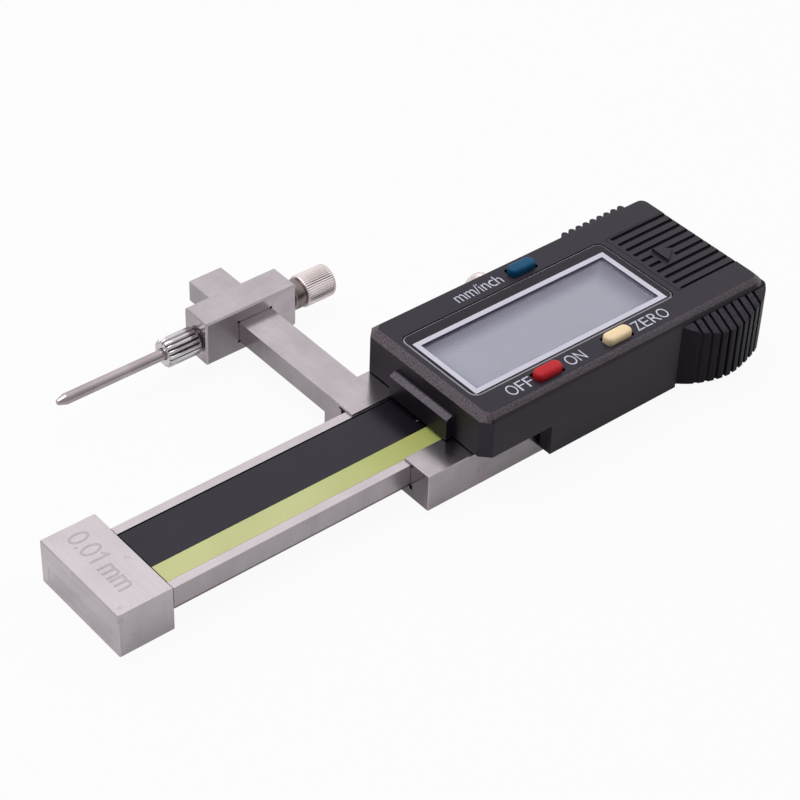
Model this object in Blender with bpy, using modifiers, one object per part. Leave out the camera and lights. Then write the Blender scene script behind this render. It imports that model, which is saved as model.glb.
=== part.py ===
# Digital step gauge, modelled in metres with +Z up.
# X runs along the beam from the measuring face, so a probe tip's x is the reading.
# The origin lies on the measuring face, at the middle of the beam's width and thickness.

import math

import bmesh
import bpy
from mathutils import Matrix, Vector

# Clearances
running_clearance = 0.00005
seat_gap = 0.00008
screw_clearance = 0.00006
cut_overrun = 0.0010

# Beam and the scale let into it
beam_width = 0.0160
beam_thickness = 0.00433
beam_length = 0.1013
beam_chamfer = 0.00025
rail_width = 0.0016
recess_depth = 0.0010
scale_board_thickness = 0.0007
label_thickness = 0.00012
stripe_width = 0.00402
label_back_gap = 0.00025
tongue_length = 0.0062
tongue_width = 0.0110
tongue_thickness = 0.0024
tongue_drop = 0.0006

# Foot with its hard measuring strip
foot_length = 0.0097
foot_overhang = 0.0043
foot_height = 0.00824
foot_chamfer = 0.00015
wear_strip_width = 0.0166
wear_strip_height = 0.0025
wear_strip_depth = 0.0012
wear_strip_lift = 0.0016
wear_strip_sink = 0.00001
foot_screw_spread = 0.0078
foot_screw_radius = 0.00095
foot_screw_head_radius = 0.0015
foot_screw_head_height = 0.0012

# Stop that keeps the slider on the beam
stop_inset = 0.00177
stop_gap = 0.0012
stop_length = 0.0040
stop_width = 0.0110
stop_thickness = 0.0017
stop_screw_spread = 0.0060
stop_screw_radius = 0.0008
stop_screw_head_radius = 0.0013
stop_screw_head_height = 0.0008
stop_screw_reach = 0.0018

# Slider, one steel piece with its arm
slider_length = 0.0500
slider_wall = 0.00426
slider_floor = 0.00212
lip_thickness = 0.00035
lip_overlap = 0.0015
relief_size = 0.00045
slider_chamfer = 0.00012
gib_thickness = 0.00115
gib_inset = 0.0004
arm_width = 0.00652
arm_thickness = 0.00393
arm_reach = 0.05025
gib_screw_radius = 0.00125
gib_screw_length = 0.0035
gib_screw_slot_width = 0.0004
gib_screw_slot_depth = 0.0006
gib_screw_first = 0.0105
gib_screw_pitch = 0.0080

# Clamp block on the arm
block_inset = 0.01408
block_width = 0.00608
block_left_jaw = 0.00652
block_right_jaw = 0.00523
block_roof = 0.00229
block_floor = 0.00209
block_chamfer = 0.0003
probe_drop = 0.00033
pad_thickness = 0.0008
pad_radius = 0.0012

# Probe
probe_pin_length = 0.0202
probe_pin_radius = 0.00095
probe_tip_radius = 0.00045
probe_taper = 0.0015
probe_pin_seat = 0.0030
collar_length = 0.00664
collar_radius = 0.00243
collar_chamfer = 0.0004
collar_flute_depth = 0.00038
collar_undercut_length = 0.00035
collar_undercut_radius = 0.0019
collar_stud_radius = 0.00125
collar_stud_length = 0.0050
collar_flutes = 16
collar_land_share = 0.30
collar_floor_share = 0.18

# Thumb screws
thumb_head_length = 0.00608
thumb_head_radius = 0.00285
thumb_head_chamfer = 0.0003
thumb_head_round = 0.0008
thumb_shoulder_length = 0.0012
thumb_shoulder_radius = 0.00245
thumb_neck_length = 0.0016
thumb_neck_radius = 0.0017
thumb_shank_radius = 0.00145
thumb_knurl_depth = 0.00024
thumb_knurls = 24
lock_inset = 0.0105
lock_head_gap = 0.0022

# Housing
housing_setback = 0.0089
housing_gap = 0.00025
skirt_wall = 0.00128
housing_chamfer = 0.00122
left_corner_chamfer = 0.00161
right_corner_round = 0.0024
skirt_setback = 0.01395
skirt_drop = 0.00576
tail_rise = 0.00071
tail_passage_width = 0.0180
roof_thickness = 0.0015
side_wall = 0.00147
end_wall = 0.00155
end_lean = 0.0019
end_lean_height = 0.0096
nose_reach = 0.0014
nose_front = 0.00727
nose_back = 0.00664
nose_height = 0.00425
nose_slope_run = 0.0010
nose_slope_rise = 0.0005
boss_radius = 0.0015
boss_left_inset = 0.0046
boss_right_inset = 0.0030

# Ribbed grips
grip_length = 0.01942
grip_bulge = 0.00365
grip_slope = 0.60
grip_top_drop = 0.0002
grip_groove_first = 0.00268
grip_groove_pitch = 0.00166
grip_groove_width = 0.0005
grip_groove_depth = 0.0006
grip_groove_depth_shares = (0.35, 0.45, 0.60, 0.80, 1, 1, 1, 1, 1)
grip_outline_shares = (
    (0.00, 0.00), (0.06, 0.27), (0.12, 0.49), (0.20, 0.69), (0.28, 0.85), (0.36, 0.95), (0.44, 1.00),
    (0.53, 0.97), (0.62, 0.88), (0.72, 0.74), (0.82, 0.57), (0.88, 0.43), (0.92, 0.31), (0.95, 0.19),
    (0.975, 0.05), (0.99, -0.10), (1.00, -0.24),
)

# Ridges on the back of the tail
ridge_count = 9
ridge_first = 0.0021
ridge_pitch = 0.0016
ridge_width = 0.00122
ridge_reach = 0.00112
ridge_valley = 0.00035
ridge_segments = 6

# Display
lens_inset = 0.00257
lens_length = 0.0425
lens_side_inset = 0.00602
lens_thickness = 0.0009
lens_sink = 0.00004
lens_corner = 0.0015
lens_edge = 0.0002
ledge_width = 0.0014
window_back_margin = 0.0028
panel_clearance = 0.00023
panel_thickness = 0.0017
panel_margin = 0.0004
zebra_width = 0.0014
zebra_inset = 0.0004

# Circuit board, switches and chip
board_thickness = 0.0008
board_gap = 0.0003
switch_length = 0.0030
switch_width = 0.0026
switch_height = 0.0009
chip_size = 0.0062
chip_height = 0.0011

# Buttons
button_length = 0.0053
button_width = 0.0024
button_height = 0.0011
button_travel = 0.0005
button_dome = 0.0006
button_hole_clearance = 0.00012
button_flange_overhang = 0.0003
button_flange_thickness = 0.0006
button_off_on_place = 0.01525
button_zero_room = 0.00805
button_inch_room = 0.00817
button_front_inset = 0.00333
button_back_inset = 0.00366
button_corner = 0.0011
button_hole_corner = 0.0004

# Battery bay
door_side_inset = 0.00622
door_thickness = 0.0014
door_tongue_width = 0.0008
door_tongue_thickness = 0.0006
door_clearance = 0.0001
door_groove_width = 0.00072
door_groove_depth = 0.00042
door_groove_edge = 0.00033
door_groove_shift = -0.00025
door_groove_start = 0.0007
door_grooves = 10
arrow_place = 0.0041
arrow_length = 0.0028
arrow_half_width = 0.00195
arrow_shift = 0.00015
arrow_height = 0.00045
arrow_margin = 0.0009
battery_radius = 0.0058
battery_height = 0.0054
battery_edge = 0.0004
battery_clearance = 0.0002
battery_headroom = 0.00022
bridge_width = 0.0014
bay_left_wall = 0.0016
bay_right_wall = 0.00082
bay_floor = 0.00065
contact_thickness = 0.0002
contact_width = 0.0030
contact_height = 0.0042

# Housing screws
housing_screw_radius = 0.00075
housing_screw_head_radius = 0.00135
housing_screw_head_height = 0.0011
housing_screw_bite = 0.0045

# How finely round things are cut
fine_steps = 32
coarse_steps = 16
round_segments = 2
half = 0.5
weld_distance = 0.000001
flat_angle = math.radians(1)
sharp_angle = math.radians(32)

# Places worked out from the sizes
beam_top = beam_thickness / 2
beam_side = beam_width / 2
beam_end = foot_length + beam_length
recess_side = beam_side - rail_width
recess_floor = beam_top - recess_depth
foot_front = -beam_side
foot_back = beam_side + foot_overhang
foot_bottom = beam_top - foot_height
channel_front = -beam_side - running_clearance
channel_back = beam_side + gib_thickness + 2 * running_clearance
channel_top = beam_top + running_clearance
channel_floor = -beam_top - running_clearance
slider_front = channel_front - slider_wall
slider_back = channel_back + slider_wall
slider_top = channel_top + lip_thickness
slider_bottom = channel_floor - slider_floor
stop_left = beam_end - stop_inset - stop_length
slider_right = stop_left - stop_gap
slider_left = slider_right - slider_length
arm_right = slider_left + arm_width
arm_bottom = slider_top - arm_thickness
arm_middle = (slider_top + arm_bottom) / 2
slot_left = slider_left - running_clearance
slot_right = arm_right + running_clearance
slot_top = slider_top + running_clearance
slot_bottom = arm_bottom - running_clearance
block_left = slot_left - block_left_jaw
block_right = slot_right + block_right_jaw
block_top = slot_top + block_roof
block_bottom = slot_bottom - block_floor
block_place = arm_reach - block_inset
block_middle = block_place + block_width / 2
probe_height = arm_middle - probe_drop
collar_left = block_left - collar_length
bay_radius = battery_radius + battery_clearance
door_length = bay_left_wall + 2 * bay_radius + bay_right_wall
housing_left = slider_left + housing_setback
housing_length = lens_inset + lens_length + bridge_width + door_length
housing_right = housing_left + housing_length
housing_half_width = slider_back + seat_gap + skirt_wall
housing_bottom = slider_top + housing_gap
bay_bottom = housing_bottom + bay_floor
battery_bottom = bay_bottom + contact_thickness + 2 * seat_gap
battery_top = battery_bottom + battery_height
housing_top = battery_top + battery_headroom + door_thickness
skirt_left = housing_left + skirt_setback
skirt_bottom = housing_bottom - skirt_drop
skirt_right = housing_right - grip_length
tail_bottom = skirt_bottom + tail_rise
roof_bottom = housing_top - roof_thickness
cavity_left = housing_left + end_wall
cavity_side = housing_half_width - side_wall
lens_left = housing_left + lens_inset
lens_right = lens_left + lens_length
cavity_right = lens_right
lens_width = 2 * (housing_half_width - lens_side_inset)
lens_top = housing_top - lens_sink
lens_bottom = lens_top - lens_thickness
window_left = lens_left + ledge_width
window_right = lens_right - ledge_width
panel_top = roof_bottom - seat_gap
panel_bottom = panel_top - panel_thickness
board_bottom = housing_bottom + board_gap
board_top = board_bottom + board_thickness
wall_front_middle = (slider_front + channel_front) / 2
wall_back_middle = (slider_back + channel_back) / 2
boss_places = [
    (column, row)
    for column in (housing_left + boss_left_inset, slider_right - boss_right_inset)
    for row in (wall_front_middle, wall_back_middle)
]
panel_front = wall_front_middle + boss_radius + panel_clearance
window_front = panel_front + panel_margin
window_back = lens_width / 2 - window_back_margin
button_top = housing_top + button_height
button_foot = board_top + switch_height + seat_gap + button_travel
door_half_width = housing_half_width - door_side_inset
door_groove_pitch = 2 * (door_half_width - door_groove_edge) / (door_grooves - 1)
door_left = housing_right - door_length
door_bottom = housing_top - door_thickness
door_tongue_side = door_half_width + door_tongue_width
door_tongue_top = door_bottom + door_tongue_thickness
battery_x = door_left + bay_left_wall + bay_radius
stop_top = -beam_top - seat_gap
stop_bottom = stop_top - stop_thickness
lock_x = slider_right - lock_inset
lock_head_start = housing_half_width + lock_head_gap
clamp_head_start = block_right + thumb_neck_length + thumb_shoulder_length

turns = {
    "X": Matrix(((0, 0, 1), (1, 0, 0), (0, 1, 0))),
    "Y": Matrix(((0, 1, 0), (0, 0, 1), (1, 0, 0))),
    "Z": Matrix.Identity(3),
}


def clear_scene():
    for thing in list(bpy.data.objects):
        bpy.data.objects.remove(thing)


def new_collection(name):
    group = bpy.data.collections.new(name)
    bpy.context.scene.collection.children.link(group)
    return group


def principled(name, colour, metallic, roughness):
    material = bpy.data.materials.new(name)
    material.use_nodes = True
    shader = material.node_tree.nodes["Principled BSDF"]
    shader.inputs["Base Color"].default_value = (*colour, 1)
    shader.inputs["Metallic"].default_value = metallic
    shader.inputs["Roughness"].default_value = roughness
    return material


def place(name, mesh, group, location=(0, 0, 0), axis="Z"):
    thing = bpy.data.objects.new(name, mesh)
    group.objects.link(thing)
    thing.matrix_world = Matrix.Translation(location) @ turns[axis].to_4x4()
    if group is cutters:
        thing.hide_render = True
        thing.display_type = "WIRE"
    return thing


def mesh_from(form, name):
    bmesh.ops.recalc_face_normals(form, faces=form.faces)
    mesh = bpy.data.meshes.new(name)
    form.to_mesh(mesh)
    form.free()
    return mesh


def box(name, low, high, group):
    low = Vector(low)
    high = Vector(high)
    form = bmesh.new()
    bmesh.ops.create_cube(form, size=1, matrix=Matrix.Diagonal((*(high - low), 1)))
    return place(name, mesh_from(form, name), group, (low + high) / 2)


def rod(name, radius, low, high, centre, axis, group, steps=coarse_steps):
    # A cylinder from low to high along the axis; centre holds the two other coordinates in order.
    form = bmesh.new()
    bmesh.ops.create_cone(
        form, cap_ends=True, segments=steps, radius1=radius, radius2=radius, depth=high - low
    )
    middle = list(centre)
    middle.insert("XYZ".index(axis), (low + high) / 2)
    thing = place(name, mesh_from(form, name), group, middle, axis)
    return thing


def turned(name, profile, origin, axis, group, steps=fine_steps):
    # The profile's pairs are radius and height above the origin, from the top of the piece down.
    mesh = bpy.data.meshes.new(name)
    points = [(radius, 0, height) for radius, height in profile]
    edges = [(step, step + 1) for step in range(len(points) - 1)]
    mesh.from_pydata(points, edges, [])
    thing = place(name, mesh, group, origin, axis)
    screw = thing.modifiers.new("turn", "SCREW")
    screw.steps = steps
    screw.render_steps = steps
    screw.use_merge_vertices = True
    screw.merge_threshold = weld_distance
    return thing


def plate(name, outlines, low, high, group, axis="Z"):
    # Flat outlines, the second one a hole in the first, drawn out from low to high along the axis.
    # Their points name the two other axes in the order that follows the axis: YZ, ZX or XY.
    curve = bpy.data.curves.new(name, "CURVE")
    curve.dimensions = "2D"
    curve.fill_mode = "BOTH"
    curve.extrude = (high - low) / 2
    for outline in outlines:
        spline = curve.splines.new("POLY")
        spline.points.add(len(outline) - 1)
        for point, (across, along) in zip(spline.points, outline):
            point.co = (across, along, 0, 1)
        spline.use_cyclic_u = True
    middle = turns[axis] @ Vector((0, 0, (low + high) / 2))
    guide = place(name + "_outline", curve, cutters, middle, axis)
    bpy.context.view_layer.update()
    evaluated = guide.evaluated_get(bpy.context.evaluated_depsgraph_get())
    drawn = bpy.data.meshes.new_from_object(evaluated)
    form = bmesh.new()
    form.from_mesh(drawn)
    bmesh.ops.remove_doubles(form, verts=form.verts, dist=weld_distance)
    bmesh.ops.dissolve_limit(form, angle_limit=flat_angle, verts=form.verts, edges=form.edges)
    mesh = mesh_from(form, name)
    thing = place(name, mesh, group)
    thing.matrix_world = guide.matrix_world
    bpy.data.objects.remove(guide)
    return thing


def combine(target, tool, operation):
    modifier = target.modifiers.new(tool.name, "BOOLEAN")
    modifier.operation = operation
    modifier.object = tool
    modifier.solver = "EXACT"
    return target


def cut(target, tool):
    return combine(target, tool, "DIFFERENCE")


def add(target, tool):
    return combine(target, tool, "UNION")


def cut_box(target, name, low, high):
    return cut(target, box(name, low, high, cutters))


def cut_rod(target, name, radius, low, high, centre, axis, steps=coarse_steps):
    return cut(target, rod(name, radius, low, high, centre, axis, cutters, steps))


def bevel_picked(thing, pick, width, segments):
    # Bevels the edges whose two ends, in world coordinates, both pass the test.
    form = bmesh.new()
    form.from_mesh(thing.data)
    chosen = [
        edge for edge in form.edges if all(pick(thing.matrix_world @ vert.co) for vert in edge.verts)
    ]
    bmesh.ops.bevel(
        form, geom=chosen, offset=width, segments=segments, profile=half, affect="EDGES"
    )
    bmesh.ops.recalc_face_normals(form, faces=form.faces)
    form.to_mesh(thing.data)
    form.free()
    return thing


def near(value, target):
    return abs(value - target) < weld_distance


def dress(thing, material):
    thing.data.materials.clear()
    thing.data.materials.append(material)
    return thing


def settle(thing):
    # Keeps the finished shape as a plain mesh, smooth on its round faces.
    bpy.context.view_layer.update()
    evaluated = thing.evaluated_get(bpy.context.evaluated_depsgraph_get())
    mesh = bpy.data.meshes.new_from_object(evaluated)
    thing.modifiers.clear()
    thing.data = mesh
    mesh.shade_smooth()
    mesh.set_sharp_from_angle(angle=sharp_angle)


def hang(name, origin, things, parent=None):
    # An empty at a joint's origin that carries the pieces which move together.
    carrier = bpy.data.objects.new(name, None)
    parts.objects.link(carrier)
    carrier.location = origin
    bpy.context.view_layer.update()
    for thing in things:
        thing.parent = carrier
        thing.matrix_parent_inverse = carrier.matrix_world.inverted()
    if parent:
        carrier.parent = parent
        carrier.matrix_parent_inverse = parent.matrix_world.inverted()
    return carrier


def toothed(radius, depth, count):
    outline = []
    for step in range(2 * count):
        reach = radius if step % 2 else radius - depth
        angle = math.pi * step / count
        outline.append((reach * math.cos(angle), reach * math.sin(angle)))
    return outline


def fluted(radius, depth, count, land_share, floor_share):
    outline = []
    for tooth in range(count):
        for share, reach in (
            (-land_share, radius), (land_share, radius),
            (1 - land_share - floor_share, radius - depth), (land_share + floor_share, radius - depth),
        ):
            outline.append((share, reach, tooth))
    shares = sorted({(tooth + share) / count: reach for share, reach, tooth in outline}.items())
    return [
        (reach * math.cos(math.tau * share), reach * math.sin(math.tau * share))
        for share, reach in shares
    ]


def rounded_rectangle(low, high, radius, segments=6):
    corners = (
        (high[0] - radius, high[1] - radius, 0),
        (low[0] + radius, high[1] - radius, 1),
        (low[0] + radius, low[1] + radius, 2),
        (high[0] - radius, low[1] + radius, 3),
    )
    points = []
    for x, y, quarter in corners:
        for step in range(segments + 1):
            angle = math.pi / 2 * (quarter + step / segments)
            points.append((x + radius * math.cos(angle), y + radius * math.sin(angle)))
    return points


def make_beam():
    tongue_top = beam_top - recess_depth - tongue_drop + running_clearance
    beam = box(
        "beam", (foot_length + seat_gap, -beam_side, -beam_top), (beam_end, beam_side, beam_top), parts
    )
    bevel_picked(beam, lambda point: near(point.z, -beam_top), beam_chamfer, 1)
    tongue = box(
        "beam_tongue",
        (foot_length - tongue_length, -tongue_width / 2, tongue_top - tongue_thickness),
        (foot_length + cut_overrun, tongue_width / 2, tongue_top),
        cutters,
    )
    add(beam, tongue)
    cut_box(
        beam, "scale_recess",
        (foot_length, -recess_side, recess_floor),
        (beam_end + cut_overrun, recess_side, beam_top + cut_overrun),
    )
    for number, (x, y) in enumerate(foot_screw_places()):
        cut_rod(
            beam, f"foot_thread_{number}", foot_screw_radius + screw_clearance,
            tongue_top - tongue_thickness - cut_overrun, tongue_top + cut_overrun, (x, y), "Z",
        )
    for number, (x, y) in enumerate(stop_screw_places()):
        cut_rod(
            beam, f"stop_thread_{number}", stop_screw_radius + screw_clearance,
            -beam_top - cut_overrun, -beam_top + stop_screw_reach + seat_gap, (x, y), "Z",
        )
    return dress(beam, steel)


def foot_screw_places():
    x = foot_length - tongue_length / 2
    return [(x, side * foot_screw_spread / 2) for side in (-1, 1)]


def stop_screw_places():
    x = stop_left + stop_length / 2
    return [(x, side * stop_screw_spread / 2) for side in (-1, 1)]


def wear_strip_box(gap):
    middle = (foot_front + foot_back) / 2
    bottom = foot_bottom + wear_strip_lift
    return (
        (0, middle - wear_strip_width / 2 - gap, bottom - gap),
        (
            wear_strip_depth + gap, middle + wear_strip_width / 2 + gap,
            bottom + wear_strip_height + gap,
        ),
    )


def make_foot():
    foot = box("foot_block", (0, foot_front, foot_bottom), (foot_length, foot_back, beam_top), parts)
    bevel_picked(foot, lambda point: True, foot_chamfer, 1)
    tongue_top = beam_top - recess_depth - tongue_drop + running_clearance
    pocket_side = tongue_width / 2 + seat_gap
    cut_box(
        foot, "tongue_pocket",
        (foot_length - tongue_length - seat_gap, -pocket_side, tongue_top - tongue_thickness - seat_gap),
        (foot_length + cut_overrun, pocket_side, tongue_top + seat_gap),
    )
    low, high = wear_strip_box(seat_gap / 2)
    cut_box(foot, "wear_strip_seat", (-cut_overrun, low[1], low[2]), high)
    for number, centre in enumerate(foot_screw_places()):
        cut_rod(
            foot, f"foot_screw_hole_{number}", foot_screw_radius + screw_clearance,
            foot_bottom - cut_overrun, tongue_top - tongue_thickness, centre, "Z",
        )
        cut_rod(
            foot, f"foot_screw_counterbore_{number}", foot_screw_head_radius + screw_clearance,
            foot_bottom - cut_overrun, foot_bottom + foot_screw_head_height + 2 * seat_gap, centre, "Z",
        )
    low, high = wear_strip_box(0)
    strip = box("foot_wear_strip", (wear_strip_sink, low[1], low[2]), high, parts)
    return [dress(foot, steel), dress(strip, carbide)]


def cap_screw(name, origin, axis, radius, reach, head_radius, head_height, material):
    # The origin is the outer face of the head; the shank runs along the axis, away from it.
    socket = head_radius / 2
    profile = (
        (0, reach), (radius, reach), (radius, head_height), (head_radius, head_height),
        (head_radius, 0), (socket, 0), (socket, head_height / 2), (0, head_height / 2),
    )
    screw = turned(name, profile, origin, axis, parts, coarse_steps)
    return dress(screw, material)


def make_foot_screws():
    reach = foot_height - recess_depth - tongue_drop - seat_gap - tongue_thickness / 2
    return [
        cap_screw(
            f"foot_screw_{number + 1}", (x, y, foot_bottom + seat_gap), "Z",
            foot_screw_radius, reach, foot_screw_head_radius, foot_screw_head_height, dark_steel,
        )
        for number, (x, y) in enumerate(foot_screw_places())
    ]


def make_scale():
    board_low = recess_floor + seat_gap
    board_high = board_low + scale_board_thickness
    label_low = board_high + seat_gap / 2
    stripe_edge = -recess_side + stripe_width
    left = foot_length + seat_gap
    right = beam_end - seat_gap
    board = box(
        "scale_board", (left, -recess_side + seat_gap, board_low),
        (right, recess_side - label_back_gap, board_high), parts,
    )
    label = box(
        "scale_label", (left, stripe_edge + seat_gap / 4, label_low),
        (right, recess_side - label_back_gap, label_low + label_thickness), parts,
    )
    stripe = box(
        "scale_stripe", (left, -recess_side + seat_gap, label_low),
        (right, stripe_edge - seat_gap / 4, label_low + label_thickness), parts,
    )
    return [dress(board, board_green), dress(label, gloss_black), dress(stripe, yellow_green)]


def make_stop():
    stop = box(
        "beam_stop", (stop_left, -stop_width / 2, stop_bottom),
        (stop_left + stop_length, stop_width / 2, stop_top), parts,
    )
    bevel_picked(stop, lambda point: near(point.z, stop_bottom), beam_chamfer, 1)
    screws = []
    for number, (x, y) in enumerate(stop_screw_places()):
        cut_rod(
            stop, f"stop_screw_hole_{number}", stop_screw_radius + screw_clearance,
            stop_bottom - cut_overrun, stop_top + cut_overrun, (x, y), "Z",
        )
        cut_rod(
            stop, f"stop_screw_counterbore_{number}", stop_screw_head_radius + screw_clearance,
            stop_bottom - cut_overrun, stop_bottom + stop_screw_head_height + 2 * seat_gap, (x, y), "Z",
        )
        screws.append(cap_screw(
            f"stop_screw_{number + 1}", (x, y, stop_bottom + seat_gap), "Z", stop_screw_radius,
            stop_thickness + stop_screw_reach - seat_gap, stop_screw_head_radius,
            stop_screw_head_height, dark_steel,
        ))
    return [dress(stop, steel)] + screws


def gib_screw_places():
    return [slider_left + gib_screw_first + step * gib_screw_pitch for step in (0, 1)]


def make_slider():
    slider = box(
        "slider_frame", (slider_left, slider_front, slider_bottom),
        (slider_right, slider_back, slider_top), parts,
    )
    bevel_picked(slider, lambda point: True, slider_chamfer, 1)
    arm = box(
        "slider_arm", (slider_left, slider_back - cut_overrun, arm_bottom),
        (arm_right, arm_reach, slider_top), cutters,
    )
    bevel_picked(arm, lambda point: point.y > slider_back, slider_chamfer, 1)
    add(slider, arm)
    left = slider_left - cut_overrun
    right = slider_right + cut_overrun
    cut_box(
        slider, "beam_channel", (left, channel_front, channel_floor), (right, channel_back, channel_top)
    )
    cut_box(
        slider, "lip_gap",
        (left, -beam_side + lip_overlap, beam_top),
        (right, beam_side - lip_overlap, slider_top + cut_overrun),
    )
    for number, (side, corner_y) in enumerate(((-1, channel_front), (1, channel_back))):
        for level, corner_z in enumerate((channel_floor, channel_top)):
            inner = corner_y - side * relief_size / 2
            outer = corner_y + side * relief_size
            low_z = corner_z - relief_size
            high_z = corner_z + relief_size if level == 0 else corner_z
            cut_box(
                slider, f"channel_relief_{number}_{level}",
                (left, min(inner, outer), low_z), (right, max(inner, outer), high_z),
            )
    for number, centre in enumerate(boss_places):
        cut_rod(
            slider, f"housing_screw_hole_{number}", housing_screw_radius + screw_clearance,
            slider_bottom - cut_overrun, slider_top + cut_overrun, centre, "Z",
        )
        cut_rod(
            slider, f"housing_screw_counterbore_{number}", housing_screw_head_radius + screw_clearance,
            slider_bottom - cut_overrun,
            slider_bottom + housing_screw_head_height + 2 * seat_gap, centre, "Z",
        )
    for number, x in enumerate(gib_screw_places()):
        cut_rod(
            slider, f"gib_screw_hole_{number}", gib_screw_radius + screw_clearance,
            channel_back - cut_overrun, slider_back + cut_overrun, (x, 0), "Y",
        )
    cut_rod(
        slider, "lock_screw_hole", thumb_shank_radius + screw_clearance,
        channel_back - cut_overrun, slider_back + cut_overrun, (lock_x, 0), "Y",
    )
    return dress(slider, steel)


def make_gib():
    gib = box(
        "gib_strip", (slider_left + gib_inset, beam_side + running_clearance, -beam_top),
        (slider_right - gib_inset, channel_back - running_clearance, beam_top), parts,
    )
    things = [dress(gib, brass)]
    for number, x in enumerate(gib_screw_places()):
        foot = channel_back + running_clearance
        end = foot + gib_screw_length
        screw = rod(f"gib_screw_{number + 1}", gib_screw_radius, foot, end, (x, 0), "Y", parts)
        cut_box(
            screw, f"gib_screw_slot_{number}",
            (x - gib_screw_radius - cut_overrun, end - gib_screw_slot_depth, -gib_screw_slot_width / 2),
            (x + gib_screw_radius + cut_overrun, end + cut_overrun, gib_screw_slot_width / 2),
        )
        things.append(dress(screw, dark_steel))
    return things


def grip_outline(inset):
    # Seen from above: the swelling of the grip, with its straight edge inside the housing wall.
    left = skirt_right
    root = -housing_half_width
    points = [
        (left + along * grip_length, root - out * grip_bulge + inset)
        for along, out in grip_outline_shares
    ]
    end = left + grip_length + cut_overrun
    points.append((end, points[-1][1]))
    points.append((end, root + 2 * cut_overrun))
    points.append((left, root + 2 * cut_overrun))
    return points


def grip_body(name, inset):
    body = plate(name, [grip_outline(inset)], tail_bottom, housing_top, cutters)
    root = -housing_half_width
    edge = root - grip_bulge - cut_overrun
    shoulder = housing_top - housing_chamfer - grip_top_drop - inset
    outline = [
        (root + 3 * cut_overrun, shoulder),
        (root, shoulder),
        (edge, shoulder - grip_slope * (root - edge)),
        (edge, housing_top + cut_overrun),
        (root + 3 * cut_overrun, housing_top + cut_overrun),
    ]
    slope = plate(
        name + "_slope", [outline], skirt_right - cut_overrun, housing_right + 2 * cut_overrun,
        cutters, "X",
    )
    return cut(body, slope)


def make_grip():
    grip = grip_body("grip", 0)
    edge = -housing_half_width - grip_bulge - cut_overrun
    for number, share in enumerate(grip_groove_depth_shares):
        x = skirt_right + grip_groove_first + number * grip_groove_pitch
        groove = box(
            f"grip_groove_{number}",
            (x - grip_groove_width / 2, edge, tail_bottom - cut_overrun),
            (x + grip_groove_width / 2, -housing_half_width, housing_top), cutters,
        )
        cut(groove, grip_body(f"grip_core_{number}", share * grip_groove_depth))
        cut(grip, groove)
    return grip


def make_ridges():
    # A straight row of round ridges with shallow valleys, from the tail's foot to below the chamfer.
    root = housing_half_width
    radius = ridge_width / 2
    first = skirt_right + ridge_first
    points = [(first - radius, root - 2 * cut_overrun)]
    for number in range(ridge_count):
        x = first + number * ridge_pitch
        points.append((x - radius, root + ridge_valley))
        for step in range(ridge_segments + 1):
            angle = math.pi * (1 - step / ridge_segments)
            points.append((
                x + radius * math.cos(angle), root + ridge_reach - radius + radius * math.sin(angle),
            ))
        points.append((x + radius, root + ridge_valley))
    points.append((points[-1][0], root - 2 * cut_overrun))
    shoulder = housing_top - housing_chamfer - grip_top_drop
    return plate("ridges", [points], tail_bottom, shoulder, cutters)


def make_housing():
    housing = box(
        "housing", (housing_left, -housing_half_width, skirt_bottom),
        (housing_right, housing_half_width, housing_top), parts,
    )
    shape_corners(housing)
    add(housing, make_grip())
    add(housing, make_ridges())
    open_underside(housing)
    add(housing, make_nose())
    hollow_housing(housing)
    lean_end(housing)
    return dress(housing, black_plastic)


def shape_corners(housing):
    form = bmesh.new()
    form.from_mesh(housing.data)
    upright = [
        edge for edge in form.edges
        if near(edge.verts[0].co.x, edge.verts[1].co.x) and near(edge.verts[0].co.y, edge.verts[1].co.y)
    ]
    left = [edge for edge in upright if edge.verts[0].co.x < 0]
    right = [edge for edge in upright if edge.verts[0].co.x > 0]
    for edges, size, segments in ((left, left_corner_chamfer, 1), (right, right_corner_round, 6)):
        bmesh.ops.bevel(form, geom=edges, offset=size, segments=segments, profile=half, affect="EDGES")
    top = max(vert.co.z for vert in form.verts)
    rim = [edge for edge in form.edges if all(near(vert.co.z, top) for vert in edge.verts)]
    bmesh.ops.bevel(form, geom=rim, offset=housing_chamfer, segments=1, profile=half, affect="EDGES")
    form.to_mesh(housing.data)
    form.free()


def open_underside(housing):
    side = housing_half_width + grip_bulge + cut_overrun
    floor = skirt_bottom - cut_overrun
    cut_box(
        housing, "front_undercut",
        (housing_left - cut_overrun, -side, floor), (skirt_left, side, housing_bottom),
    )
    cut_box(
        housing, "slider_pocket",
        (skirt_left - cut_overrun, slider_front - seat_gap, floor),
        (slider_right + 2 * seat_gap, slider_back + seat_gap, housing_bottom),
    )
    cut_box(
        housing, "beam_passage",
        (slider_right, -tail_passage_width / 2, floor),
        (housing_right + cut_overrun, tail_passage_width / 2, housing_bottom),
    )
    cut_box(
        housing, "tail_step",
        (skirt_right, -side, floor), (housing_right + cut_overrun, side, tail_bottom),
    )
    cut_rod(
        housing, "lock_screw_passage", thumb_neck_radius + button_hole_clearance,
        slider_back - cut_overrun, housing_half_width + cut_overrun, (lock_x, 0), "Y",
    )


def make_nose():
    front_x = housing_left - nose_reach
    back_x = housing_left + cut_overrun / 2
    top = housing_bottom + nose_height
    outline = [
        (housing_bottom, front_x),
        (housing_bottom, back_x),
        (top, back_x),
        (top, front_x + nose_slope_run),
        (top - nose_slope_rise, front_x),
    ]
    return plate("housing_nose", [outline], -nose_front, nose_back, cutters, "Y")


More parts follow.
